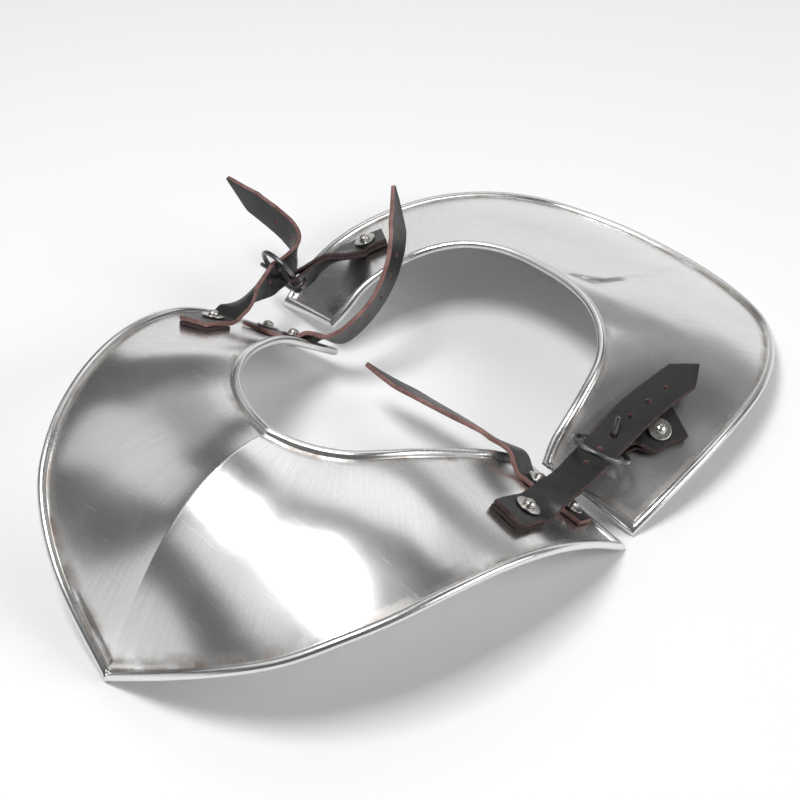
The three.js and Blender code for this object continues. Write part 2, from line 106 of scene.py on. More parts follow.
# ---- curves ----------------------------------------------------------------------------------
def spline(points, t):
    """Centripetal Catmull-Rom curve through the points, at t from 0 to 1."""
    p = np.asarray(points, float)
    t = np.atleast_1d(np.asarray(t, float))
    count = len(p)
    place = np.clip(t, 0, 1) * (count - 1)
    i = np.minimum(np.floor(place).astype(int), count - 2)
    w = (place - i)[:, None]
    p0 = np.where((i > 0)[:, None], p[np.maximum(i - 1, 0)], 2 * p[0] - p[1])
    p1, p2 = p[i], p[i + 1]
    p3 = np.where((i + 2 < count)[:, None], p[np.minimum(i + 2, count - 1)], 2 * p[-1] - p[-2])
    d0, d1, d2 = ((((b - a) ** 2).sum(1) ** 0.25)[:, None] for a, b in ((p0, p1), (p1, p2), (p2, p3)))
    d1 = np.where(d1 < 1e-4, 1, d1)
    d0 = np.where(d0 < 1e-4, d1, d0)
    d2 = np.where(d2 < 1e-4, d1, d2)
    t1 = ((p1 - p0) / d0 - (p2 - p0) / (d0 + d1) + (p2 - p1) / d1) * d1
    t2 = ((p2 - p1) / d1 - (p3 - p1) / (d1 + d2) + (p3 - p2) / d2) * d1
    return (p1 + t1 * w + (-3 * p1 + 3 * p2 - 2 * t1 - t2) * w ** 2
            + (2 * p1 - 2 * p2 + t1 + t2) * w ** 3)


def smoothed(rows, spread, mirror=None):
    """Evens out a row of samples. Past each end it goes on point-reflected, so the ends stay put;
    mirror gives the signs of a mirror image past the first sample instead."""
    n = len(rows)
    reach = int(4 * spread)
    before = 2 * rows[0] - rows[reach:0:-1] if mirror is None else rows[reach:0:-1] * mirror
    after = 2 * rows[-1] - rows[n - 2:n - 2 - reach:-1]
    line = np.concatenate([before, rows, after])
    k = np.exp(-0.5 * (np.arange(-reach, reach + 1) / spread) ** 2)
    k /= k.sum()
    return np.stack([np.convolve(line[:, c], k, "valid") for c in range(line.shape[1])], 1)


class Sheet:
    """The middle surface of a plate, in millimetres about the front plate's middle line."""

    SAMPLES = 1201
    SPREAD = 34  # samples over which the stations' corners are planished out
    STATION_GAP = 10  # distance between stations in the curve through the crowns and leans
    LEAN_SCALE = 10  # brings the leans to the size of the crowns in that curve
    SEAT_STEPS = 30
    SEAT_DAMPING = 0.8

    def __init__(self, plate, turn=0.0):
        self.turn = turn
        self.a = np.linspace(0, 1, self.SAMPLES)
        rise = [(self.STATION_GAP * i, crown, self.LEAN_SCALE * lean)
                for i, (crown, lean) in enumerate(zip(plate["crown"], plate["lean"]))]
        mirror = None if plate["ridged"] else np.array([-1.0, 1.0, 1.0])
        self.neck = smoothed(spline(plate["neck"], self.a), self.SPREAD, mirror)
        self.rim = smoothed(spline(plate["rim"], self.a), self.SPREAD, mirror)
        self.rise = smoothed(spline(rise, self.a), self.SPREAD)

    def read(self, rows, a):
        return np.stack([np.interp(a, self.a, rows[:, c]) for c in range(3)], -1)

    def at(self, u, v):
        u, v = np.broadcast_arrays(np.asarray(u, float), np.asarray(v, float))
        a = np.minimum(np.abs(u), 1)
        rise = self.read(self.rise, a)
        p = self.read(self.neck, a) * (1 - v)[..., None] + self.read(self.rim, a) * v[..., None]
        p[..., 2] += 4 * rise[..., 1] * v * (1 - v) * (1 + rise[..., 2] / self.LEAN_SCALE * v * v)
        p[..., 0] *= np.where(u < 0, -1, 1)
        return turn_z(p, self.turn)

    def frame(self, u, v, step=2e-3):
        """Point, the two directions along the surface, the outward normal, and their skew."""
        u, v = np.broadcast_arrays(np.asarray(u, float), np.asarray(v, float))
        u0, u1 = np.maximum(u - step, -1), np.minimum(u + step, 1)
        v0, v1 = np.maximum(v - step, 0), np.minimum(v + step, 1)
        du = (self.at(u1, v) - self.at(u0, v)) / (u1 - u0)[..., None]
        dv = (self.at(u, v1) - self.at(u, v0)) / (v1 - v0)[..., None]
        n = np.cross(du, dv)
        skew = np.linalg.norm(n, axis=-1) / (np.linalg.norm(du, axis=-1) * np.linalg.norm(dv, axis=-1))
        n = unit(n)
        n = np.where(n[..., 2:] < 0, -n, n)
        return self.at(u, v), du, dv, n, skew

    def seat(self, x, y):
        """The point and normal above plan position (x, y), found by damped Newton steps."""
        u, v = (-0.75 if x < 0 else 0.75), 0.5
        for _ in range(self.SEAT_STEPS):
            p, du, dv, _, _ = self.frame(u, v)
            ex, ey = x - p[0], y - p[1]
            det = du[0] * dv[1] - du[1] * dv[0]
            u = float(np.clip(u + self.SEAT_DAMPING * (ex * dv[1] - ey * dv[0]) / det, -1, 1))
            v = float(np.clip(v + self.SEAT_DAMPING * (du[0] * ey - du[1] * ex) / det, 0, 1))
        p, _, _, n, _ = self.frame(u, v)
        return p, n


front = Sheet(FRONT)
back = Sheet(BACK, BACK_TURN)
BACK_FRAME = Sheet(BACK)  # the back plate before it is turned, for spots given in its own frame

# the front plate's middle line and point, found in the frame's box, place everything else
plate_low, plate_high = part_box("front_plate")
TIP_Y = -203.2
ORIGIN = np.array([(plate_low.x + plate_high.x) / 2, plate_low.y - TIP_Y * MM, 0.0])


# ---- meshes ----------------------------------------------------------------------------------
def link(name, data, *materials):
    """A new object of the scene that shows a mesh, a light or a camera."""
    made = bpy.data.objects.new(name, data)
    bpy.context.scene.collection.objects.link(made)
    for material in materials:
        data.materials.append(material)
    return made


def mesh_of(name, points, faces, smooth=True, kinds=None):
    """A mesh from points in millimetres, with an optional material number for each face."""
    mesh = bpy.data.meshes.new(name)
    placed = np.asarray(points, float).reshape(-1, 3) * MM + ORIGIN
    mesh.from_pydata(placed.tolist(), [], [list(map(int, f)) for f in faces])
    mesh.polygons.foreach_set("use_smooth", [smooth] * len(mesh.polygons))
    if kinds is not None:
        mesh.polygons.foreach_set("material_index", np.asarray(kinds, np.int32))
    mesh.update()
    return mesh


def add_values(mesh, name, values):
    layer = mesh.attributes.new(name, "FLOAT", "POINT")
    layer.data.foreach_set("value", np.asarray(values, np.float32).ravel())


def evaluated(piece, name):
    """The piece as a plain mesh object of that name, with its modifiers applied."""
    deps = bpy.context.evaluated_depsgraph_get()
    deps.update()
    mesh = bpy.data.meshes.new_from_object(piece.evaluated_get(deps), preserve_all_data_layers=True,
                                           depsgraph=deps)
    mesh.name = name
    made = link(name, mesh)
    bpy.data.objects.remove(piece)
    made.name = name
    return made


# ---- plates ----------------------------------------------------------------------------------
BEAD_STEPS = np.array([0, 0.04, 0.14, 0.3, 0.5, 0.75, 1, 1.25, 1.5, 1.75, 1.95, 2.08, 2.15, 2.3]) * BEAD
ROLL_W = 2.15 * BEAD


def bead_top(d):
    """Height of the outer face at a distance d in from the edge: a wire-rolled edge on the sheet."""
    c = BEAD - SHEET / 2
    roll = c + np.sqrt(np.maximum(0, BEAD ** 2 - (BEAD - np.minimum(d, BEAD)) ** 2))
    x = np.clip((d - BEAD) / (ROLL_W - BEAD), 0, 1)
    fall = SHEET / 2 + (c + BEAD - SHEET / 2) * np.sqrt(np.maximum(0, 1 - x ** 2.2))
    return np.where(d < BEAD, roll, fall)


def bead_bottom(d):
    c = BEAD - SHEET / 2
    roll = c - np.sqrt(np.maximum(0, BEAD ** 2 - (BEAD - np.minimum(d, BEAD)) ** 2))
    return np.where(d < BEAD, roll, -SHEET / 2)


HAMMER_WAVES = 14
SHORTEST_WAVE, LONGEST_WAVE = 24, 75
FULL_HEIGHT_WAVE = 60  # a wave of this length has the full hammer depth
HAMMER_DEPTH = 0.1


def planished(p, seed):
    """The slight unevenness that hammering leaves in a plate, as a height in millimetres."""
    rng = np.random.default_rng(seed)
    height = np.zeros(p.shape[:-1])
    for _ in range(HAMMER_WAVES):
        wave = rng.uniform(SHORTEST_WAVE, LONGEST_WAVE)
        angle = rng.uniform(0, math.pi)
        phase = rng.uniform(0, 2 * math.pi)
        across = p[..., 0] * math.cos(angle) + p[..., 1] * math.sin(angle)
        height += np.sin(2 * math.pi * across / wave + phase) * wave / FULL_HEIGHT_WAVE
    return HAMMER_DEPTH * height / math.sqrt(HAMMER_WAVES)


RIDGE_COLUMNS = [-0.006, -0.003, -0.0012, 0.0012, 0.003, 0.006]  # extra columns beside the ridge
RIDGE_RISE = 0.75
RIDGE_FADE = 7.0


def ridge(p):
    """The front plate's medial ridge, pinched up to a crisp line."""
    return RIDGE_RISE * np.exp(-np.abs(p[..., 0]) / RIDGE_FADE)


BETWEEN_ENDS = 99.0  # stands for a column's distance from the end when it is in neither end's bead
LEAST_SKEW = 0.6
PLANISH_FADE = 8  # millimetres beside the roll over which the unevenness sets in
DENT_FADE = 3


def plate_mesh(name, sheet, columns, rows, seed, dent):
    """A plate with its rolled edge. dent gives its own ridge or crease as a height at each point;
    the sheet coordinates go into a UV map, and the distance from the edge into edge_mm."""
    _, du, _, _, skew = sheet.frame(0.97, 0.5)
    across_end = np.linalg.norm(du) * skew
    ends = 1 - BEAD_STEPS / across_end
    middle = np.linspace(-ends[-1], ends[-1], columns + 1)[1:-1]
    middle = np.unique(np.concatenate([middle, RIDGE_COLUMNS if dent is ridge else []]))
    us = np.concatenate([-ends, middle, ends[::-1]])
    end_d = np.concatenate([BEAD_STEPS, np.full(len(middle), BETWEEN_ENDS), BEAD_STEPS[::-1]])
    top, bottom, edge, along, fall = [], [], [], [], []
    for u, d_end in zip(us, end_d):
        _, _, dv0, _, s0 = sheet.frame(u, 0.0)
        _, _, dv1, _, s1 = sheet.frame(u, 1.0)
        near = BEAD_STEPS / (np.linalg.norm(dv0) * max(s0, LEAST_SKEW))
        far = 1 - BEAD_STEPS / (np.linalg.norm(dv1) * max(s1, LEAST_SKEW))
        inner = np.linspace(near[-1], far[-1], rows + 1)[1:-1]
        v = np.concatenate([near, inner, far[::-1]])
        length = np.linalg.norm(dv0)
        between = np.minimum(inner * length, (1 - inner) * length)
        d = np.concatenate([BEAD_STEPS, between, BEAD_STEPS[::-1]])
        d = np.minimum(d, d_end if d_end < BETWEEN_ENDS else (1 - abs(u)) * across_end)
        p, _, _, n, _ = sheet.frame(np.full(len(v), u), v)
        lift = (planished(p, seed) * np.clip((d - ROLL_W) / PLANISH_FADE, 0, 1)
                + dent(p) * np.clip((d - ROLL_W) / DENT_FADE, 0, 1))
        top.append(p + n * (bead_top(d) + lift)[:, None])
        bottom.append(p + n * (bead_bottom(d) + lift)[:, None])
        edge.append(d)
        along.append(np.full(len(v), u))
        fall.append(v)
    top, bottom, edge = np.array(top), np.array(bottom), np.array(edge)
    m, n = edge.shape
    index = np.arange(m * n).reshape(m, n)
    under = index + m * n
    under[0], under[-1], under[:, 0], under[:, -1] = index[0], index[-1], index[:, 0], index[:, -1]

    def quads(a):
        return np.stack([a[:-1, :-1], a[:-1, 1:], a[1:, 1:], a[1:, :-1]], -1).reshape(-1, 4)

    faces = np.concatenate([quads(index), quads(under)[:, ::-1]])
    used = np.unique(faces)
    lookup = np.zeros(2 * m * n, int)
    lookup[used] = np.arange(len(used))
    points = np.concatenate([top.reshape(-1, 3), bottom.reshape(-1, 3)])[used]
    faces = lookup[faces]
    a, b, c = (points[faces[0, k]] for k in (0, 1, 2))
    if np.cross(b - a, c - a) @ np.array([0, 0, 1.0]) < 0:
        faces = faces[:, ::-1]
    mesh = mesh_of(name, points, faces)
    add_values(mesh, "edge_mm", np.concatenate([edge.ravel(), edge.ravel()])[used])
    flat = np.stack([np.array(along).ravel(), np.array(fall).ravel()], -1)
    flat = np.concatenate([flat, flat])[used][faces.ravel()]
    mesh.uv_layers.new(name="sheet").data.foreach_set("uv", flat.astype(np.float32).ravel())
    return mesh


# ---- where things sit ------------------------------------------------------------------------
STACK = SHEET / 2 + CLEAR
ON_PAD = STACK + PAD + 0.4 + LEATHER / 2
OFF_PAD = ON_PAD + 0.8
ON_FLANGE = STACK + LEATHER / 2 + 0.4
OVER_BEAD = SHEET / 2 + 2 * BEAD + CLEAR + LEATHER / 2 + 0.9
LOW_TAB = STACK + TAB_LEATHER / 2 + 0.65
HIGH_TAB = LOW_TAB + TAB_LEATHER + CLEAR
FLAT_TOP = STACK + LEATHER + 0.4
BUCKLE_RIVET = (102.8, -33.5)
END_RIVETS = (83, 103)
END_LINE = 4.9
TAB_RIVET_A = (106.5, 75.5)
TAB_RIVET_B = (104.3, 80.5)
RING_A = np.array([102.2, 31.7, 38.4])
RING_B = np.array([-117.2, 33.9, 34.0])


def lying(sheet, x, y, rise, along, breadth=1.0):
    """A strap station lying on a plate: its middle, its direction across, its breadth."""
    p, n = sheet.seat(x, y)
    return p + n * rise, unit(np.cross(along, n)), breadth


def free(p, across, breadth=1.0):
    return np.array(p, float), unit(across), breadth


def on_back(side, x, y, rise, along):
    p, across, breadth = lying(BACK_FRAME, side * x, y, rise, along)
    return turn_z(p, BACK_TURN), turn_z(across, BACK_TURN), breadth


ALONG_Y = (0, 1, 0)
TO_LEFT, TO_RIGHT = (-1, 0, 0), (1, 0, 0)


def strap_a_line():
    spots = [(102.3, -46.5), (102.6, -40), BUCKLE_RIVET]
    return [lying(front, x, y, ON_PAD, ALONG_Y) for x, y in spots] + [
        lying(front, 103.4, -27, OFF_PAD, ALONG_Y),
        free((105, -14, 45), (1, -0.06, 0)), free((105.3, 2, 42.5), (1, -0.1, 0.08)),
        free((103.4, 18, 40), (1, -0.1, 0.06)), free((102.2, 31.7, 38.6), (1, 0, 0)),
        free((101.8, 43.4, 38.8), (1, 0.05, -0.1)), free((101.8, 57, 41), (1, 0.15, -0.22)),
        free((102.8, 72, 42.4), (1, 0.15, -0.2)), free((104.6, 90, 43), (1, 0.12, -0.2)),
        free((107.2, 110.5, 43), (1, 0.1, -0.2))]


def strap_b_line():
    spots = [(-102.3, -46.5), (-102.6, -40), (-BUCKLE_RIVET[0], BUCKLE_RIVET[1])]
    return [lying(front, x, y, ON_PAD, ALONG_Y) for x, y in spots] + [
        lying(front, -102.9, -27, OFF_PAD, ALONG_Y),
        free((-103.5, -16, 46), (1, 0, 0.25)), free((-107.5, -2, 43.6), (0.6, 0, 0.8)),
        free((-112.8, 17, 38.3), (0.12, 0, 1)), free((-116.6, 28, 34.6), (-0.05, -0.2, 1)),
        free((-117.6, 37, 33.9), (0, -0.2, 1)), free((-120, 46.5, 35.4), (0.1, 0, 1)),
        free((-124, 52.3, 39.5), (0.25, 0, 0.97)), free((-130.5, 54, 44), (0.35, 0, 0.95)),
        free((-140.5, 52.4, 50), (0.45, 0, 0.9)), free((-153.5, 49.3, 57), (0.5, 0, 0.87)),
        free((-170.7, 46.9, 67), (0.5, 0, 0.87))]


def end_spots(side):
    return [side * 113, side * END_RIVETS[1], side * END_RIVETS[0], side * 76]


def strap_c_line():
    return [lying(front, x, END_LINE, ON_FLANGE, TO_RIGHT) for x in end_spots(-1)] + [
        lying(front, -67, END_LINE, OVER_BEAD, TO_RIGHT),
        free((-59.5, 14, 30), (0.05, -0.7, 0.7)), free((-54.4, 17.8, 33.7), (0.1, -0.72, 0.68)),
        free((-49, 26.2, 42.2), (0.15, -0.74, 0.64)), free((-46, 36.3, 52.5), (0.2, -0.75, 0.6)),
        free((-47.1, 47.1, 63.4), (0.2, -0.76, 0.6)), free((-52.3, 58, 74.5), (0.15, -0.76, 0.62)),
        free((-60.9, 67.1, 83.7), (0.1, -0.76, 0.64)), free((-70.1, 75.3, 91.9), (0.1, -0.76, 0.64))]


def strap_d_line():
    return [lying(front, x, END_LINE, ON_FLANGE, TO_LEFT) for x in end_spots(1)] + [
        lying(front, 66, END_LINE, OVER_BEAD, TO_LEFT),
        free((55, 9, 31), (0, 0.66, -0.75)), free((45, 8.6, 32.2), (0, 0.66, -0.75)),
        free((33, 8, 32.6), (0, 0.7, -0.7)), free((7, 8, 31.8), (0, 0.74, -0.66)),
        free((-14, 8, 31.6), (0, 0.74, -0.66)), free((-30, 8, 33), (0, 0.74, -0.66))]


def pad_line(side):
    x, y = BUCKLE_RIVET
    spots = [(x - 0.5, -46.5), (x - 0.5, -40), (x, y), (x, -30)]
    return [lying(front, side * a, b, STACK + PAD / 2, ALONG_Y) for a, b in spots]


# ---- leather ---------------------------------------------------------------------------------
def strap_frames(line, steps):
    t = np.linspace(0, 1, steps + 1)
    e = 1e-4
    middle, across, breadth = zip(*line)
    p = spline(middle, t)
    tangent = unit(spline(middle, np.minimum(t + e, 1)) - spline(middle, np.maximum(t - e, 0)))
    w = spline(across, t)
    w = unit(w - (w * tangent).sum(1, keepdims=True) * tangent)
    wide = spline([(i, b, 0) for i, b in enumerate(breadth)], t)[:, 1]
    run = np.concatenate([[0], np.cumsum(np.linalg.norm(np.diff(p, axis=0), axis=1))])
    return p, tangent, w, np.cross(w, tangent), wide, run


def cut_section(flat_steps=8, round_steps=3):
    """A cut strap's section as (across, through, out, kind). across and through run -1 .. 1, out is
    how far a point of the bulging cut edge stands out in corners, and kind is 1 on that edge."""
    ring = []
    for side, through in ((1, 1), (-1, -1)):
        for i in range(flat_steps + 1):
            ring.append((side * (1 - 2 * i / flat_steps), through, 0.0, 0))
        for i in range(1, round_steps + 1):
            q = math.pi * i / (round_steps + 1)
            ring.append((-side, through * math.cos(q), -side * math.sin(q), 1))
    return ring


CORNER = 0.45  # how far a cut edge bulges past the flat face
FRAY = 0.11
FRAY_ACROSS, FRAY_THROUGH = 0.6, 0.3  # shares of the fray across the strap and through it
WANDER = ((7.0, 0.12), (2.3, 0.06), (0.9, 0.05))  # length and size of each wave in a cut line
TIP_SHARE = 0.08  # breadth left at the very tip


def strap_mesh(name, line, width=STRAP_W, thick=LEATHER, taper=0.0, steps=150, seed=1, droop=0.25,
               dyed=0.5):
    """A flat strap with square cut edges: faces are kind 0, and cut edges kind 1. It tapers to a
    point over the length taper. droop is how far its two edges curl down."""
    p, _, w, n, wide, run = strap_frames(line, steps)
    rng = np.random.default_rng(seed)
    left = run[-1] - run
    narrowed = TIP_SHARE + (1 - TIP_SHARE) * left / max(taper, 1e-6)
    half = np.where(left < taper, narrowed, 1.0) * wide * width / 2
    half -= CORNER
    section = cut_section()
    wander = sum(np.sin(run / length + rng.uniform(0, 6)) * size for length, size in WANDER)
    rings, edge = [], []
    for across, through, out, kind in section:
        a = across * half + out * CORNER + np.sign(across) * wander * abs(across) ** 6
        b = through * thick / 2 - droop * np.abs(across) ** 2.5 * np.ones(len(p))
        if kind:
            a = a + rng.normal(0, FRAY, len(p)) * FRAY_ACROSS
            b = b + rng.normal(0, FRAY, len(p)) * FRAY_THROUGH
        rings.append(p + w * a[:, None] + n * b[:, None])
        edge.append(np.where(kind, 0.0, half * (1 - abs(across))))
    grid = np.stack(rings, 1)
    edge = np.minimum(np.stack(edge, 1), np.minimum(run, left)[:, None])
    m, k = grid.shape[:2]
    index = np.arange(m * k).reshape(m, k)
    following = np.roll(index, -1, 1)
    faces = np.stack([index[:-1], index[1:], following[1:], following[:-1]], -1).reshape(-1, 4)
    kind = np.array([s[3] for s in section])
    ring_kind = np.maximum(kind, np.roll(kind, -1))
    kinds = np.tile(ring_kind, m - 1).tolist()
    faces = faces.tolist() + [index[0].tolist(), index[-1][::-1].tolist()]
    kinds += [1, 1]
    mesh = mesh_of(name, grid.reshape(-1, 3), faces, kinds=kinds)
    add_values(mesh, "edge_mm", edge)
    add_values(mesh, "dyed", np.full(m * k, dyed))
    bm = bmesh.new()
    bm.from_mesh(mesh)
    bmesh.ops.recalc_face_normals(bm, faces=bm.faces)
    for f in bm.faces:
        for e in f.edges:
            if len(e.link_faces) == 2 and e.link_faces[0].material_index != e.link_faces[1].material_index:
                e.smooth = False
    bm.to_mesh(mesh)
    bm.free()
    return mesh


def lathe(name, profile, segments=48):
    """A turned shape about +Z in millimetres; the profile is (radius, height) from axis to axis."""
    q = 2 * math.pi * np.arange(segments) / segments
    points, rows = [], []
    for r, h in profile:
        if r == 0:
            rows.append([len(points)] * segments)
            points.append((0, 0, h))
        else:
            rows.append(list(range(len(points), len(points) + segments)))
            points += [(r * math.cos(t), r * math.sin(t), h) for t in q]
    faces = []
    for low, high in zip(rows, rows[1:]):
        for i in range(segments):
            j = (i + 1) % segments
            ring = [low[i], low[j], high[j], high[i]]
            faces.append(list(dict.fromkeys(ring)))
    mesh = bpy.data.meshes.new(name)
    mesh.from_pydata([tuple(c * MM for c in p) for p in points], [], faces)
    mesh.polygons.foreach_set("use_smooth", [True] * len(mesh.polygons))
    mesh.validate()
    return mesh


def punch(piece, pins, raw, box=None):
    """Cuts round holes through a leather piece. Each pin is (point, direction, radius, reach)."""
    shapes = []
    for p, n, radius, reach in pins:
        mesh = lathe("pin", [(0, -reach), (radius, -reach), (radius, reach), (0, reach)], 20)
        turn = Vector(n).to_track_quat("Z", "Y").to_matrix().to_4x4()
        mesh.transform(Matrix.Translation(Vector(np.asarray(p) * MM + ORIGIN)) @ turn)
        shapes.append(mesh)
    if box is not None:
        shapes.append(box)
    cutters = []
    for mesh in shapes:
        mesh.materials.clear()
        cutter = link("cutter", mesh, raw, raw)
        cut = piece.modifiers.new("punched", "BOOLEAN")
        cut.operation = "DIFFERENCE"
        cut.solver = "EXACT"
        cut.object = cutter
        cutters.append(cutter)
    made = evaluated(piece, piece.name)
    for cutter in cutters:
        bpy.data.objects.remove(cutter)
    return made


BUCKLE_HOLE_R = 1.4
PRONG_HOLE_R = 1.9
STRAP_REACH = 4  # half the length of a pin that goes through one strap


def holes_along(line, distances):
    """Pins for the buckle holes at distances along a strap."""
    p, _, _, n, _, run = strap_frames(line, 400)
    found = [int(np.searchsorted(run, d)) for d in distances]
    return [(p[i], n[i], BUCKLE_HOLE_R, STRAP_REACH) for i in found if i < len(p)]


# ---- wire ------------------------------------------------------------------------------------
WIRE_SEED = 3
WIRE_UNEVEN = 0.02


def wire_mesh(name, points, radius, closed=False, sides=16):
    """A round wire along the points, with rounded ends where it is open."""
    p = np.asarray(points, float)
    tangent = unit(np.roll(p, -1, 0) - np.roll(p, 1, 0) if closed else np.gradient(p, axis=0))
    rng = np.random.default_rng(WIRE_SEED)
    normal = [unit(np.cross(tangent[0], (0.31, 0.52, 0.79)))]
    for t in tangent[1:]:
        normal.append(unit(normal[-1] - (normal[-1] @ t) * t))
    normal = np.array(normal)
    other = np.cross(tangent, normal)
    size = np.full(len(p), radius) + rng.normal(0, WIRE_UNEVEN, len(p))
    if not closed:
        run = np.concatenate([[0], np.cumsum(np.linalg.norm(np.diff(p, axis=0), axis=1))])
        near = np.minimum(run, run[-1] - run)
        size = size * np.sqrt(np.clip(1 - (1 - np.minimum(near / radius, 1)) ** 2, 0.02, 1))
    q = 2 * math.pi * np.arange(sides) / sides
    grid = (p[:, None] + normal[:, None] * (size[:, None] * np.cos(q))[..., None]
            + other[:, None] * (size[:, None] * np.sin(q))[..., None])
    m = len(p)
    index = np.arange(m * sides).reshape(m, sides)
    rows = np.vstack([index, index[:1]]) if closed else index
    following = np.roll(rows, -1, 1)
    faces = np.stack([rows[:-1], following[:-1], following[1:], rows[1:]], -1).reshape(-1, 4).tolist()
    if not closed:
        faces += [index[0][::-1].tolist(), index[-1].tolist()]
    return mesh_of(name, grid.reshape(-1, 3), faces)


# ---- shared shader groups --------------------------------------------------------------------
def new_group(name, numbers, results):
    """A group that takes a vector and named numbers, and gives named values."""
    group = bpy.data.node_groups.new(name, "ShaderNodeTree")
    group.interface.new_socket("Vector", in_out="INPUT", socket_type="NodeSocketVector")
    for label, value in numbers.items():
        socket = group.interface.new_socket(label, in_out="INPUT", socket_type="NodeSocketFloat")
        socket.default_value = value
    for label in results:
        group.interface.new_socket(label, in_out="OUTPUT", socket_type="NodeSocketFloat")
    return group, group.nodes.new("NodeGroupInput").outputs, group.nodes.new("NodeGroupOutput").inputs


def set_inputs(tree, made, inputs):
    """Gives a node's inputs, by name or number, their values or the sockets that feed them."""
    for key, value in inputs.items():
        if isinstance(value, bpy.types.NodeSocket):
            tree.links.new(value, made.inputs[key])
        else:
            made.inputs[key].default_value = value


def node(tree, kind, inputs=None, **settings):
    made = tree.nodes.new(kind)
    for key, value in settings.items():
        setattr(made, key, value)
    set_inputs(tree, made, inputs or {})
    return made


def ranged(tree, value, low, high, to_low=0.0, to_high=1.0):
    n = node(tree, "ShaderNodeMapRange", {"Value": value, "From Min": low, "From Max": high,
                                          "To Min": to_low, "To Max": to_high})
    return n.outputs["Result"]


def maths(tree, operation, a, b=0.0, clamp=False):
    return node(tree, "ShaderNodeMath", {0: a, 1: b}, operation=operation, use_clamp=clamp).outputs[0]


def times(tree, a, b, clamp=False):
    return maths(tree, "MULTIPLY", a, b, clamp)


def plus(tree, a, b, clamp=False):
    return maths(tree, "ADD", a, b, clamp)


def mix_colours(tree, factor, a, b):
    return node(tree, "ShaderNodeMix", {0: factor, 6: a, 7: b}, data_type="RGBA").outputs[2]


def noise(tree, vector, scale, detail, roughness=0.5):
    return node(tree, "ShaderNodeTexNoise", {"Vector": vector, "Scale": scale, "Detail": detail,
                                             "Roughness": roughness}).outputs


def scratch_group():
    """Fine straight scratches: thin stretched noise in three directions."""
    g, i, o = new_group("fine scratches", {"Scale": 60.0, "Amount": 0.5}, ["Mask"])
    masks = []
    for angle, stretch in ((0.5, 40.0), (-0.9, 55.0), (1.35, 30.0)):
        turned = node(g, "ShaderNodeMapping", {"Vector": i["Vector"], "Rotation": (0, 0, angle),
                                               "Scale": (1.0, stretch, 1.0)})
        line = noise(g, turned.outputs[0], i["Scale"], 2.0, 0.6)
        masks.append(ranged(g, line["Fac"], 0.70, 0.76))
    both = maths(g, "MAXIMUM", maths(g, "MAXIMUM", masks[0], masks[1]), masks[2])
    g.links.new(times(g, both, i["Amount"], clamp=True), o["Mask"])
    return g


def mottle_group():
    """Broad uneven patches and finer ones, each from 0 to 1."""
    g, i, o = new_group("mottling", {"Scale": 20.0}, ["Value", "Fine"])
    broad = noise(g, i["Vector"], i["Scale"], 4.0, 0.55)
    fine = noise(g, i["Vector"], times(g, i["Scale"], 9.0), 6.0, 0.7)
    g.links.new(ranged(g, broad["Fac"], 0.3, 0.7), o["Value"])
    g.links.new(ranged(g, fine["Fac"], 0.3, 0.7), o["Fine"])
    return g


def speck_group():
    """Small scattered dark pits."""
    g, i, o = new_group("specks", {"Scale": 200.0, "Share": 0.06}, ["Mask"])
    cell = node(g, "ShaderNodeTexVoronoi", {"Vector": i["Vector"], "Scale": i["Scale"]})
    spot = ranged(g, cell.outputs["Distance"], 0.10, 0.20, 1.0, 0.0)
    pick = node(g, "ShaderNodeSeparateColor", {"Color": cell.outputs["Color"]})
    chosen = maths(g, "LESS_THAN", pick.outputs[0], i["Share"])
    g.links.new(times(g, spot, chosen), o["Mask"])
    return g


def grain_group():
    """Leather grain: small warped pebbles over fibre, as a height and a mask of the valleys."""
    g, i, o = new_group("leather grain", {"Scale": 900.0}, ["Height", "Valley"])
    warp = noise(g, i["Vector"], 260.0, 3.0)
    shift = node(g, "ShaderNodeVectorMath", {0: warp["Color"], 1: (0.0012, 0.0012, 0.0012)},
                 operation="MULTIPLY")
    bent = node(g, "ShaderNodeVectorMath", {0: i["Vector"], 1: shift.outputs[0]}, operation="ADD")
    cell = node(g, "ShaderNodeTexVoronoi", {"Vector": bent.outputs[0], "Scale": i["Scale"]},
                feature="DISTANCE_TO_EDGE")
    pebble = ranged(g, cell.outputs["Distance"], 0.0, 0.22)
    fibre = noise(g, i["Vector"], 1500.0, 5.0, 0.7)
    g.links.new(plus(g, pebble, times(g, fibre["Fac"], 0.7)), o["Height"])
    g.links.new(maths(g, "SUBTRACT", 1.0, pebble), o["Valley"])
    return g


SCRATCHES, MOTTLING, SPECKS, GRAIN = scratch_group(), mottle_group(), speck_group(), grain_group()


def use(tree, group, **inputs):
    return node(tree, "ShaderNodeGroup", inputs, node_tree=group).outputs


def attribute(tree, name):
    return node(tree, "ShaderNodeAttribute", attribute_name=name).outputs["Fac"]


def new_material(name):
    material = bpy.data.materials.new(name)
    material.use_nodes = True
    tree = material.node_tree
    shader = tree.nodes["Principled BSDF"]
    place = node(tree, "ShaderNodeTexCoord").outputs["Object"]
    return material, tree, shader, place


def bump(tree, height, distance, strength=1.0, normal=None):
    inputs = {"Height": height, "Distance": distance, "Strength": strength}
    if normal is not None:
        inputs["Normal"] = normal
    return node(tree, "ShaderNodeBump", inputs).outputs["Normal"]


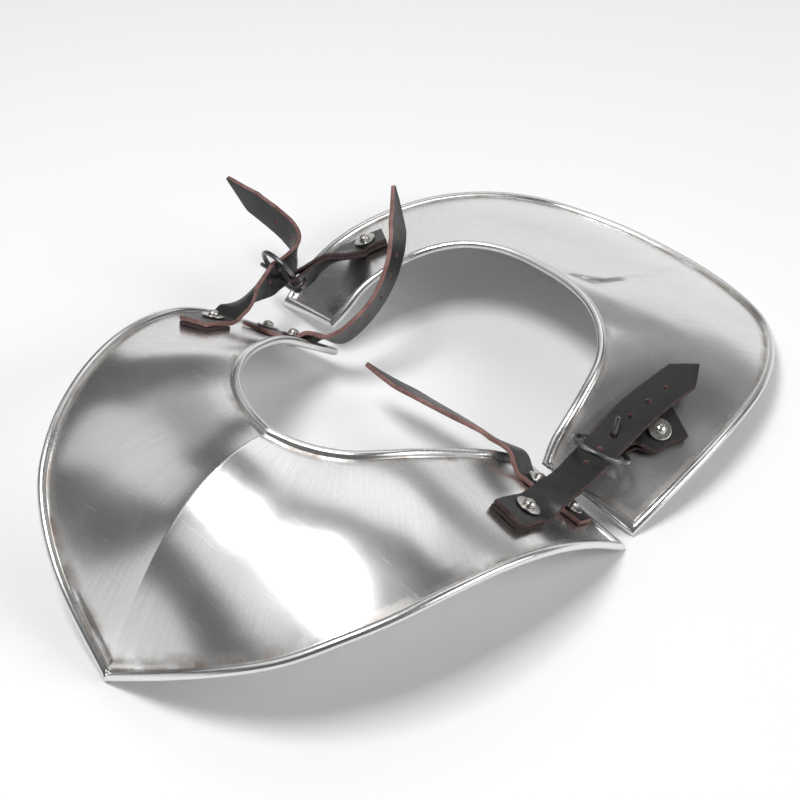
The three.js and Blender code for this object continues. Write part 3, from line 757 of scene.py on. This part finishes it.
# ---- steel -----------------------------------------------------------------------------------
def plate_steel():
    """Hand-polished plate: brushed from the neck outwards, scratched, with a brown line of painted shade
    in the corner beside the roll."""
    material, tree, shader, place = new_material("polished plate steel")
    edge = attribute(tree, "edge_mm")
    sheet = node(tree, "ShaderNodeUVMap", uv_map="sheet").outputs["UV"]
    broad = use(tree, MOTTLING, Vector=place, Scale=22.0)
    patches = use(tree, MOTTLING, Vector=place, Scale=70.0)
    scratch = use(tree, SCRATCHES, Vector=place, Scale=22.0, Amount=0.7)["Mask"]
    speck = use(tree, SPECKS, Vector=place, Scale=380.0, Share=0.0035)["Mask"]
    streaks = node(tree, "ShaderNodeMapping", {"Vector": sheet, "Scale": (420.0, 3.0, 1.0)})
    brushed = noise(tree, streaks.outputs[0], 1.0, 5.0, 0.65)["Fac"]
    # painted shade: a brown line in the corner beside the roll, fading out over the sheet; the steel is
    # rougher there too
    corner = times(tree, ranged(tree, edge, ROLL_W - 0.7, ROLL_W + 0.2),
                   ranged(tree, edge, ROLL_W + 0.4, ROLL_W + 4.5, 1.0, 0.0))
    painted_roll_shade = times(tree, corner, ranged(tree, patches["Value"], 0.15, 0.85), clamp=True)
    steel = mix_colours(tree, broad["Value"], (0.76, 0.76, 0.75, 1), (0.83, 0.83, 0.82, 1))
    steel = mix_colours(tree, times(tree, patches["Fine"], 0.2), steel, (0.64, 0.64, 0.63, 1))
    steel = mix_colours(tree, ranged(tree, brushed, 0.45, 0.75, 0.0, 0.4), steel, (0.58, 0.58, 0.57, 1))
    # the brown line of painted shade beside the roll
    steel = mix_colours(tree, times(tree, painted_roll_shade, 0.75), steel, (0.20, 0.14, 0.095, 1))
    steel = mix_colours(tree, times(tree, speck, 0.8), steel, (0.10, 0.08, 0.07, 1))
    rough = plus(tree, ranged(tree, broad["Value"], 0, 1, 0.17, 0.23), times(tree, brushed, 0.07))
    rough = plus(tree, rough, times(tree, scratch, 0.08))
    rough = plus(tree, rough, times(tree, painted_roll_shade, 0.25))
    rough = plus(tree, rough, times(tree, patches["Fine"], 0.03), clamp=True)
    height = plus(tree, times(tree, brushed, 0.35), times(tree, scratch, -0.8))
    height = plus(tree, height, times(tree, speck, -1.5))
    normal = bump(tree, height, 0.000016, 0.5)
    normal = bump(tree, patches["Value"], 0.00002, 0.35, normal)
    set_inputs(tree, shader, {"Base Color": steel, "Metallic": 1.0, "Roughness": rough, "Normal": normal})
    return material


def rivet_steel():
    """Domed rivets and washers, polished with the plate, darker in their small pits."""
    material, tree, shader, place = new_material("rivet steel")
    broad = use(tree, MOTTLING, Vector=place, Scale=180.0)
    scratch = use(tree, SCRATCHES, Vector=place, Scale=120.0, Amount=0.8)["Mask"]
    speck = use(tree, SPECKS, Vector=place, Scale=900.0, Share=0.10)["Mask"]
    steel = mix_colours(tree, broad["Value"], (0.50, 0.48, 0.45, 1), (0.68, 0.67, 0.64, 1))
    steel = mix_colours(tree, times(tree, speck, 0.7), steel, (0.12, 0.09, 0.07, 1))
    rough = plus(tree, ranged(tree, broad["Fine"], 0, 1, 0.20, 0.34), times(tree, scratch, 0.2))
    set_inputs(tree, shader, {"Base Color": steel, "Metallic": 1.0, "Roughness": rough,
                              "Normal": bump(tree, broad["Fine"], 0.00002, 0.4)})
    return material


def dark_wire():
    """Oil-blackened wire, rubbed brighter where it is handled."""
    material, tree, shader, place = new_material("dark wire")
    broad = use(tree, MOTTLING, Vector=place, Scale=120.0)
    scratch = use(tree, SCRATCHES, Vector=place, Scale=140.0, Amount=1.0)["Mask"]
    rubbed = ranged(tree, broad["Value"], 0.2, 0.9)
    steel = mix_colours(tree, rubbed, (0.10, 0.10, 0.11, 1), (0.27, 0.265, 0.26, 1))
    steel = mix_colours(tree, times(tree, scratch, 0.6), steel, (0.45, 0.44, 0.42, 1))
    set_inputs(tree, shader, {"Base Color": steel, "Metallic": 1.0,
                              "Roughness": ranged(tree, broad["Fine"], 0, 1, 0.24, 0.42),
                              "Normal": bump(tree, broad["Fine"], 0.0001, 0.5)})
    return material


# ---- leather finishes ------------------------------------------------------------------------
def black_leather():
    """Dyed black strap leather, smooth with a satin sheen, its dye rubbed thin near the cut edges."""
    material, tree, shader, place = new_material("black strap leather")
    edge = attribute(tree, "edge_mm")
    grain = use(tree, GRAIN, Vector=place, Scale=1100.0)
    broad = use(tree, MOTTLING, Vector=place, Scale=90.0)
    scratch = use(tree, SCRATCHES, Vector=place, Scale=90.0, Amount=0.7)["Mask"]
    dye = mix_colours(tree, broad["Value"], (0.003, 0.003, 0.0035, 1), (0.008, 0.0075, 0.008, 1))
    dye = mix_colours(tree, times(tree, grain["Valley"], 0.5), dye, (0.004, 0.004, 0.004, 1))
    worn = times(tree, ranged(tree, edge, 0.1, 0.9, 1.0, 0.0), ranged(tree, broad["Fine"], 0.35, 0.8))
    dye = mix_colours(tree, times(tree, worn, 0.4), dye, (0.10, 0.045, 0.035, 1))
    dye = mix_colours(tree, times(tree, scratch, 0.35), dye, (0.07, 0.065, 0.06, 1))
    rough = plus(tree, ranged(tree, broad["Value"], 0, 1, 0.30, 0.42), times(tree, grain["Valley"], 0.15))
    normal = bump(tree, grain["Height"], 0.00012, 0.55)
    normal = bump(tree, broad["Value"], 0.0004, 0.35, normal)
    set_inputs(tree, shader, {"Base Color": dye, "Roughness": rough, "Specular IOR Level": 0.4,
                              "Coat Weight": 0.25, "Coat Roughness": 0.24, "Normal": normal})
    return material


def raw_edge():
    """The undyed cut edge: pinkish reddish brown fibre with dye smeared over it."""
    material, tree, shader, place = new_material("raw cut edge")
    broad = use(tree, MOTTLING, Vector=place, Scale=130.0)
    grain = use(tree, GRAIN, Vector=place, Scale=1700.0)
    hide = mix_colours(tree, broad["Value"], (0.24, 0.115, 0.10, 1), (0.52, 0.30, 0.27, 1))
    hide = mix_colours(tree, times(tree, grain["Valley"], 0.5), hide, (0.09, 0.036, 0.030, 1))
    dyed = attribute(tree, "dyed")
    smear = ranged(tree, plus(tree, times(tree, broad["Fine"], 0.6), dyed), 0.6, 1.15)
    hide = mix_colours(tree, times(tree, smear, 0.92), hide, (0.014, 0.010, 0.010, 1))
    set_inputs(tree, shader, {"Base Color": hide, "Roughness": 0.78,
                              "Normal": bump(tree, grain["Height"], 0.0003, 0.8)})
    return material


STEEL, RIVET_STEEL, WIRE = plate_steel(), rivet_steel(), dark_wire()
BLACK, RAW = black_leather(), raw_edge()


# ---- the pieces ------------------------------------------------------------------------------
def keep(piece, slot, *nodes):
    """Rides the piece on the one body, and lets it stand for its nodes of the frame."""
    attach(piece, "root")
    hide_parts(*nodes)
    return piece


def crease(p):
    """The back plate's dent: a sharp crease from the neck edge outwards, with a shallow hollow on
    its right side."""
    local = turn_z(p, -BACK_TURN)
    line = np.array([(11, 119), (18.5, 126), (24.5, 134), (27.5, 149), (27, 172), (25, 197)], float)
    x, y = local[..., 0], local[..., 1]
    fold_x = np.interp(y, line[:, 1], line[:, 0])
    side = x - fold_x
    along = np.clip((y - 117) / 10, 0, 1) * np.clip((214 - y) / 40, 0, 1)
    hollow = np.where(side > 0, np.exp(-(np.abs(side) / 10.0) ** 1.2), np.exp(-(side / 1.2) ** 2))
    swell = np.exp(-((side + 9) / 7.0) ** 2) * 0.2
    return along * (swell - 1.35 * hollow)


def make_plates():
    body = link("front_plate_fine", plate_mesh("front_plate_fine", front, 236, 84, 11, ridge), STEEL)
    keep(body, "plate_steel", "front_plate")
    body = link("back_plate_fine", plate_mesh("back_plate_fine", back, 250, 66, 29, crease), STEEL)
    keep(body, "plate_steel", "back_plate")


def rivet_spots():
    """Each rivet as (tag, seat, normal, height of the leather's top above the sheet's middle)."""
    x, y = BUCKLE_RIVET
    spots = [("strap_a", *front.seat(x, y), ON_PAD + LEATHER / 2),
             ("strap_b", *front.seat(-x, y), ON_PAD + LEATHER / 2)]
    for tag, side in (("d", 1), ("c", -1)):
        for i, end in enumerate(END_RIVETS):
            spots.append((f"strap_{tag}{i + 1}", *front.seat(side * end, END_LINE), FLAT_TOP))
    for tag, side, (x, y) in (("a", 1, TAB_RIVET_A), ("b", -1, TAB_RIVET_B)):
        p, n = BACK_FRAME.seat(side * x, y)
        spots.append((f"tab_{tag}", turn_z(p, BACK_TURN), turn_z(n, BACK_TURN),
                      HIGH_TAB + TAB_LEATHER / 2 + 0.1))
    return spots


RIVETS = rivet_spots()
SEATS = {tag: (p, n) for tag, p, n, _ in RIVETS}


RIVET_HOLE_R = 2.0
RIVET_HOLE_REACH = 14


def rivet_hole(tag):
    p, n = SEATS[tag]
    return (p, n, RIVET_HOLE_R, RIVET_HOLE_REACH)


HOLE_STEP = 13.5
PRONG_AT = (91.8, 83.2)
TIP_B = unit((-0.98, 0.16, -0.1))
UP_B = np.array((-0.05, -0.34, 0.94))
NORMAL_B = unit(np.cross(TIP_B, UP_B))
STRAP_HOLE_B = RING_B - NORMAL_B * (RING_WIRE + CLEAR + PRONG_WIRE)
STRAP_HOLE_A = RING_A + (0, 11.1, 0.6)
DROP_A = np.array((0, -math.cos(0.61), math.sin(0.61)))


PRESS_REACH = 3.3  # how far past a washer's edge the leather is still pressed a little
PRESS_FADE = 3
MOST_PRESSED = 2


def press_under_washers(mesh, node_name):
    """Flattens the leather where its own washers press on it."""
    flat = np.empty(len(mesh.vertices) * 3)
    mesh.vertices.foreach_get("co", flat)
    p = (flat.reshape(-1, 3) - ORIGIN) / MM
    for tag, seat, n, rise in RIVETS:
        if not tag.startswith(node_name):
            continue
        height = (p - seat) @ n
        radius = np.linalg.norm(p - seat - height[:, None] * n, axis=1)
        over = np.clip(height - rise - CLEAR / 2, 0, MOST_PRESSED)
        over *= np.clip((WASHER_R + PRESS_REACH - radius) / PRESS_FADE, 0, 1)
        p -= n * over[:, None]
    mesh.vertices.foreach_set("co", (p * MM + ORIGIN).ravel())
    mesh.update()


def make_strap(name, line, node_name, holes, **sizes):
    piece = link(name, strap_mesh(name, line, **sizes), BLACK, RAW)
    press_under_washers(piece.data, node_name)
    piece = punch(piece, holes, RAW)
    return keep(piece, "black_leather", node_name)


def make_straps():
    a, b, c, d = strap_a_line(), strap_b_line(), strap_c_line(), strap_d_line()
    holes_a = holes_along(a, [PRONG_AT[0] + HOLE_STEP * i for i in (-2, -1, 1, 2, 3)])
    holes_b = holes_along(b, [PRONG_AT[1] + HOLE_STEP * i for i in (-1, 1, 2, 3)])
    make_strap("buckle_strap_a", a, "strap_a",
               [rivet_hole("strap_a"), (STRAP_HOLE_A, (0, 0, 1), PRONG_HOLE_R, STRAP_REACH), *holes_a],
               taper=13, steps=170, seed=5, dyed=0.8)
    make_strap("buckle_strap_b", b, "strap_b",
               [rivet_hole("strap_b"), (STRAP_HOLE_B, TIP_B, PRONG_HOLE_R, STRAP_REACH), *holes_b],
               taper=20, steps=190, seed=6, dyed=0.45)
    make_strap("shoulder_strap_c", c, "strap_c",
               [rivet_hole("strap_c1"), rivet_hole("strap_c2"),
                *holes_along(c, [58, 70, 82, 94, 106, 118, 130])], taper=24, steps=190, seed=7, dyed=0.05)
    make_strap("shoulder_strap_d", d, "strap_d", [rivet_hole("strap_d1"), rivet_hole("strap_d2")],
               taper=24, steps=170, seed=8, dyed=0.3)
    for tag, side in (("a", 1), ("b", -1)):
        make_strap(f"under_pad_{tag}", pad_line(side), f"pad_{tag}", [rivet_hole(f"strap_{tag}")],
                   thick=PAD, steps=26, seed=9 + side, dyed=0.95)


RING_EXTRA = 0.13  # the wires are thicker by this than their plain radius
PRONG_EXTRA = 0.06
FOLD_BREADTH = 0.56  # a tab's breadth at its fold, as a share of its full width
SLOT = 9.5  # length and depth of the tab's slot for the prong
SLOT_PLAY = 1.2


def ring_buckle(tag, centre, to_tip, up, loop_turn, reach, tab):
    """A wire ring, its prong looped round it, and the folded tab that holds it."""
    a1 = unit(to_tip)
    n = unit(np.cross(a1, up))
    a2 = np.cross(n, a1)
    q = np.linspace(0, 2 * math.pi, 96, endpoint=False)[:, None]
    ring = centre + RING_R * (a1 * np.cos(q) + a2 * np.sin(q))
    name = f"buckle_ring_{tag}"
    mesh = wire_mesh(name, ring, RING_WIRE + RING_EXTRA, closed=True)
    keep(link(name, mesh, WIRE), "dark_steel", f"ring_{tag}")
    bar = centre - a1 * RING_R
    eye = RING_WIRE + CLEAR + PRONG_WIRE
    turn = np.radians(np.linspace(loop_turn[0], loop_turn[1], 9))
    loop = [bar + a1 * math.cos(t) * eye + n * math.sin(t) * eye for t in turn]
    prong = spline(loop + [np.asarray(p, float) for p in reach], np.linspace(0, 1, 120))
    name = f"buckle_prong_{tag}"
    mesh = wire_mesh(name, prong, PRONG_WIRE + PRONG_EXTRA, sides=14)
    keep(link(name, mesh, WIRE), "dark_steel", f"prong_{tag}")
    fold = RING_WIRE + CLEAR + FOLD_SAG / 2 + TAB_LEATHER / 2
    fold_at = bar + a1 * FOLD_SAG / 2
    bends = np.radians(np.linspace(tab["from"], tab["to"], 7))
    bends = [(fold_at + a1 * math.cos(t) * fold + n * math.sin(t) * fold, -a2, FOLD_BREADTH)
             for t in bends]
    line = tab["under"] + bends + tab["over"]
    name = f"folded_tab_{tag}"
    mesh = strap_mesh(name, line, width=TAB_W, thick=TAB_LEATHER, steps=200, seed=17, droop=0.0,
                      dyed=0.85)
    piece = link(name, mesh, BLACK, RAW)
    press_under_washers(piece.data, f"tab_{tag}")
    bpy.ops.mesh.primitive_cube_add(size=1)
    cube = bpy.context.object
    basis = Matrix((a1, a2, n)).transposed().to_4x4()
    sizes = Matrix.Diagonal((SLOT * MM, (2 * PRONG_WIRE + SLOT_PLAY) * MM, SLOT * MM, 1))
    box = cube.data.copy()
    bpy.data.objects.remove(cube)
    box.transform(Matrix.Translation(Vector(bar * MM + ORIGIN)) @ basis @ sizes)
    piece = punch(piece, [rivet_hole(f"tab_{tag}")], RAW, box)
    keep(piece, "black_leather", f"tab_{tag}")


def tab_row(side, spots, rise, along):
    return [on_back(side, x, y, rise, along) for x, y in spots]


def make_buckles():
    neck_down = (-0.93, 0.2, 0.3)
    spots = [(110.5, 87.5), (108.1, 81), TAB_RIVET_A, (104.6, 69.5)]
    x, y, z = RING_A
    ring_buckle("a", RING_A, DROP_A, np.array((1.0, 0, 0)), (-150, 120),
                [(x, y + 10.9, z - 3.5), (x, y + 11.2, z + 1), (x - 0.6, y + 13, z + 6),
                 (x - 1.2, y + 15.6, z + 10.5)],
                {"under": tab_row(1, spots, LOW_TAB, (0.2, -1, 0))
                 + [free((105.4, 55, 30.4), neck_down, 0.72)],
                 "over": [free((105.4, 55, 33.8), neck_down, 0.72)]
                 + tab_row(1, spots[::-1], HIGH_TAB, (0.2, -1, 0)),
                 "from": -128, "to": 58})
    pairs = []
    for p, w, gap, breadth in (((-101.8, 67, 33.6), (-0.88, 0, -0.48), TAB_LEATHER + CLEAR, 0.95),
                               ((-104.2, 54, 35), (-0.45, 0, -0.9), TAB_LEATHER + CLEAR, 0.8),
                               ((-103.4, 42, 35.6), (-0.05, 0.25, -0.97), 3.4, 0.62)):
        n = unit(np.cross(w, (0, -1, 0)))
        pairs.append([free(np.array(p) + n * s * gap / 2, w, breadth) for s in (-1, 1)])
    spots = [(98.7, 89.5), (101.5, 85), TAB_RIVET_B, (106, 75.5)]
    ring_buckle("b", RING_B, TIP_B, UP_B, (0, 270),
                [STRAP_HOLE_B + TIP_B * (k - RING_R) for k in (8, 15, 22, 31.5)],
                {"under": tab_row(-1, spots, LOW_TAB, (-0.45, -1, 0)) + [k[0] for k in pairs],
                 "over": [k[1] for k in pairs[::-1]] + tab_row(-1, spots[::-1], HIGH_TAB, (-0.45, -1, 0)),
                 "from": 180, "to": 360})


# ---- rivets and washers ----------------------------------------------------------------------
def scatter_tree():
    """Sets a turned template on each point, its axis along the point's own direction."""
    tree = bpy.data.node_groups.new("set along directions", "GeometryNodeTree")
    face = tree.interface
    face.new_socket("Geometry", in_out="INPUT", socket_type="NodeSocketGeometry")
    for label, kind, value in (("Template", "NodeSocketObject", None), ("Size", "NodeSocketFloat", 1.0),
                               ("Uneven size", "NodeSocketFloat", 0.03), ("Tilt", "NodeSocketFloat", 0.03),
                               ("Seed", "NodeSocketInt", 4), ("Finish", "NodeSocketMaterial", None)):
        socket = face.new_socket(label, in_out="INPUT", socket_type=kind)
        if value is not None:
            socket.default_value = value
    face.new_socket("Geometry", in_out="OUTPUT", socket_type="NodeSocketGeometry")
    inp = tree.nodes.new("NodeGroupInput").outputs
    out = tree.nodes.new("NodeGroupOutput")
    template = node(tree, "GeometryNodeObjectInfo", {"Object": inp["Template"]})
    axis = node(tree, "GeometryNodeInputNamedAttribute", {"Name": "axis"}, data_type="FLOAT_VECTOR")
    aim = node(tree, "FunctionNodeAlignRotationToVector", {"Vector": axis.outputs[0]}, axis="Z")
    lean = node(tree, "FunctionNodeRandomValue", {"Seed": inp["Seed"]}, data_type="FLOAT_VECTOR")
    lean.inputs[0].default_value = (-1, -1, -60)
    lean.inputs[1].default_value = (1, 1, 60)
    tilt = node(tree, "ShaderNodeVectorMath", {0: lean.outputs[0]}, operation="SCALE")
    tree.links.new(inp["Tilt"], tilt.inputs["Scale"])
    turn = node(tree, "FunctionNodeEulerToRotation", {0: tilt.outputs[0]})
    both = node(tree, "FunctionNodeRotateRotation", {0: aim.outputs[0], 1: turn.outputs[0]},
                rotation_space="LOCAL")
    spread = node(tree, "FunctionNodeRandomValue", {"Seed": inp["Seed"]}, data_type="FLOAT")
    low, high = spread.inputs[2], spread.inputs[3]
    tree.links.new(maths(tree, "SUBTRACT", inp["Size"], inp["Uneven size"]), low)
    tree.links.new(plus(tree, inp["Size"], inp["Uneven size"]), high)
    placed = node(tree, "GeometryNodeInstanceOnPoints", {
        "Points": inp["Geometry"], "Instance": template.outputs["Geometry"], "Rotation": both.outputs[0],
        "Scale": spread.outputs[1]})
    real = node(tree, "GeometryNodeRealizeInstances", {"Geometry": placed.outputs[0]})
    finish = node(tree, "GeometryNodeSetMaterial", {"Geometry": real.outputs[0], "Material": inp["Finish"]})
    tree.links.new(finish.outputs[0], out.inputs[0])
    return tree


def scattered(name, tree, spots, template, **inputs):
    """One mesh of the template set on every (point, direction) in millimetres."""
    mesh = bpy.data.meshes.new(name + "_spots")
    mesh.from_pydata([tuple(np.asarray(p) * MM + ORIGIN) for p, _ in spots], [], [])
    axis = mesh.attributes.new("axis", "FLOAT_VECTOR", "POINT")
    axis.data.foreach_set("vector", np.array([n for _, n in spots], np.float32).ravel())
    holder = link(name + "_holder", mesh)
    pattern = link(name + "_template", template)
    modifier = holder.modifiers.new("set", "NODES")
    modifier.node_group = tree
    values = {"Template": pattern, "Finish": RIVET_STEEL, **inputs}
    for item in tree.interface.items_tree:
        if item.in_out == "INPUT" and item.name in values:
            modifier[item.identifier] = values[item.name]
    made = evaluated(holder, name)
    bpy.data.objects.remove(pattern)
    return made


WASHER = [(2.1, 0), (WASHER_R - 0.15, 0), (WASHER_R, 0.12), (WASHER_R, 0.65), (WASHER_R - 0.05, 0.78),
          (WASHER_R - 0.2, 0.86), (WASHER_R - 0.4, 0.88), (WASHER_R - 1.4, 0.93), (3.2, 0.98), (2.4, 0.98),
          (2.1, 0.9), (2.1, 0)]
HEAD = [(0, -0.2), (RIVET_R - 0.35, -0.2), (RIVET_R - 0.04, 0.1), (RIVET_R, 0.45)] + [
    (RIVET_R * math.cos(t), 0.45 + 2.2 * math.sin(t)) for t in np.linspace(0.2, 1.35, 8)] + [(0, 2.62)]
INNER_HEAD = [(0, 0.1), (2.9, 0.1), (2.85, -0.4), (2.3, -1.05), (1.2, -1.3), (0, -1.35)][::-1]


HEAD_LIFT = 1.15  # from a washer's seat to its rivet head's
INNER_GAP = 0.1


def make_rivets():
    tree = scatter_tree()
    lifted = [(p + n * (rise + CLEAR), n) for _, p, n, rise in RIVETS]
    heads = [(p + n * HEAD_LIFT, n) for p, n in lifted]
    inner = [(p - n * (SHEET / 2 + INNER_GAP), n) for _, p, n, _ in RIVETS]
    tags = [tag for tag, *_ in RIVETS]
    washers = scattered("washers", tree, lifted, lathe("washer", WASHER), Tilt=0.012)
    keep(washers, "rivet_steel", *[f"washer_{t}" for t in tags])
    outer = scattered("rivet_heads", tree, heads, lathe("head", HEAD, 36), Tilt=0.03)
    keep(outer, "rivet_steel", *[f"rivet_{t}" for t in tags])
    under = scattered("rivet_inner_heads", tree, inner, lathe("inner", INNER_HEAD, 32), Tilt=0.02)
    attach(under, "root")


# ---- the studio ------------------------------------------------------------------------------
FLOOR_HALF = 4.0


def make_floor():
    mesh = bpy.data.meshes.new("floor")
    s = FLOOR_HALF
    mesh.from_pydata([(-s, -s, 0), (s, -s, 0), (s, s, 0), (-s, s, 0)], [], [(0, 1, 2, 3)])
    material, tree, shader, _ = new_material("pale floor")
    set_inputs(tree, shader, {"Base Color": (0.93, 0.93, 0.935, 1), "Roughness": 0.9,
                              "Specular IOR Level": 0.1})
    link("floor", mesh, material)


def direction(azimuth, elevation):
    """Unit vector towards a light: azimuth 0 is -Y and 90 is +X."""
    a, e = math.radians(azimuth), math.radians(elevation)
    return Vector((math.sin(a) * math.cos(e), -math.cos(a) * math.cos(e), math.sin(e)))


def softbox(name, azimuths, elevations, distance, brightness):
    """A rectangular soft light that fills a range of azimuth and elevation as the gorget sees it;
    brightness is its radiance."""
    azimuth, elevation = sum(azimuths) / 2, sum(elevations) / 2
    half_width = math.radians(azimuths[1] - azimuths[0]) / 2
    half_height = math.radians(elevations[1] - elevations[0]) / 2
    light = bpy.data.lights.new(name, "AREA")
    light.shape = "RECTANGLE"
    light.size = 2 * distance * math.tan(half_width) * math.cos(math.radians(elevation))
    light.size_y = 2 * distance * math.tan(half_height)
    light.energy = brightness * math.pi * light.size * light.size_y
    out = direction(azimuth, elevation)
    along = Vector((math.cos(math.radians(azimuth)), math.sin(math.radians(azimuth)), 0))
    turn = Matrix((along, out.cross(along), out)).transposed().to_4x4()
    link(name, light).matrix_world = Matrix.Translation(Vector(ORIGIN) + out * distance) @ turn


def make_lights():
    softbox("key_softbox", (-58, 14), (67, 82), 1.3, 19.0)
    softbox("key_skirt", (-60, -8), (43, 56), 1.35, 0.75)
    softbox("left_softbox", (-95, -62), (28, 56), 1.8, 0.62)
    softbox("left_rear_softbox", (-123, -96), (36, 62), 1.8, 0.25)
    softbox("rear_softbox", (-192, -124), (40, 68), 1.9, 1.1)
    softbox("rear_backdrop", (-200, -114), (-1, 19), 2.0, 0.85)
    softbox("rear_low_softbox", (-196, -135), (20, 38), 1.95, 0.2)
    softbox("front_backdrop", (-62, -8), (0, 20), 2.0, 0.65)
    softbox("right_fill", (88, 134), (16, 42), 1.9, 4.6)
    world = bpy.data.worlds.new("studio")
    bpy.context.scene.world = world
    world.use_nodes = True
    background = world.node_tree.nodes["Background"]
    background.inputs["Color"].default_value = (0.11, 0.11, 0.115, 1)
    background.inputs["Strength"].default_value = 1.0


CAMERA_YAW, CAMERA_RISE = 40.86, 43.0
CAMERA_DISTANCE = 0.75
CAMERA_AIM = Vector((0, 0, 0.031))
SENSOR_WIDTH = 36.0
LENS = 65.8125  # millimetres


def make_camera():
    data = bpy.data.cameras.new("camera")
    data.sensor_width = SENSOR_WIDTH
    data.lens = LENS
    data.clip_start = 0.01
    camera = link("camera", data)
    towards = direction(CAMERA_YAW, CAMERA_RISE)
    camera.location = Vector(ORIGIN) + CAMERA_AIM + towards * CAMERA_DISTANCE
    camera.rotation_euler = towards.to_track_quat("Z", "Y").to_euler()
    bpy.context.scene.camera = camera


make_camera()
make_plates()
make_straps()
make_buckles()
make_rivets()
make_floor()
make_lights()
bpy.context.scene.view_settings.view_transform = "Standard"

bpy.context.view_layer.update()
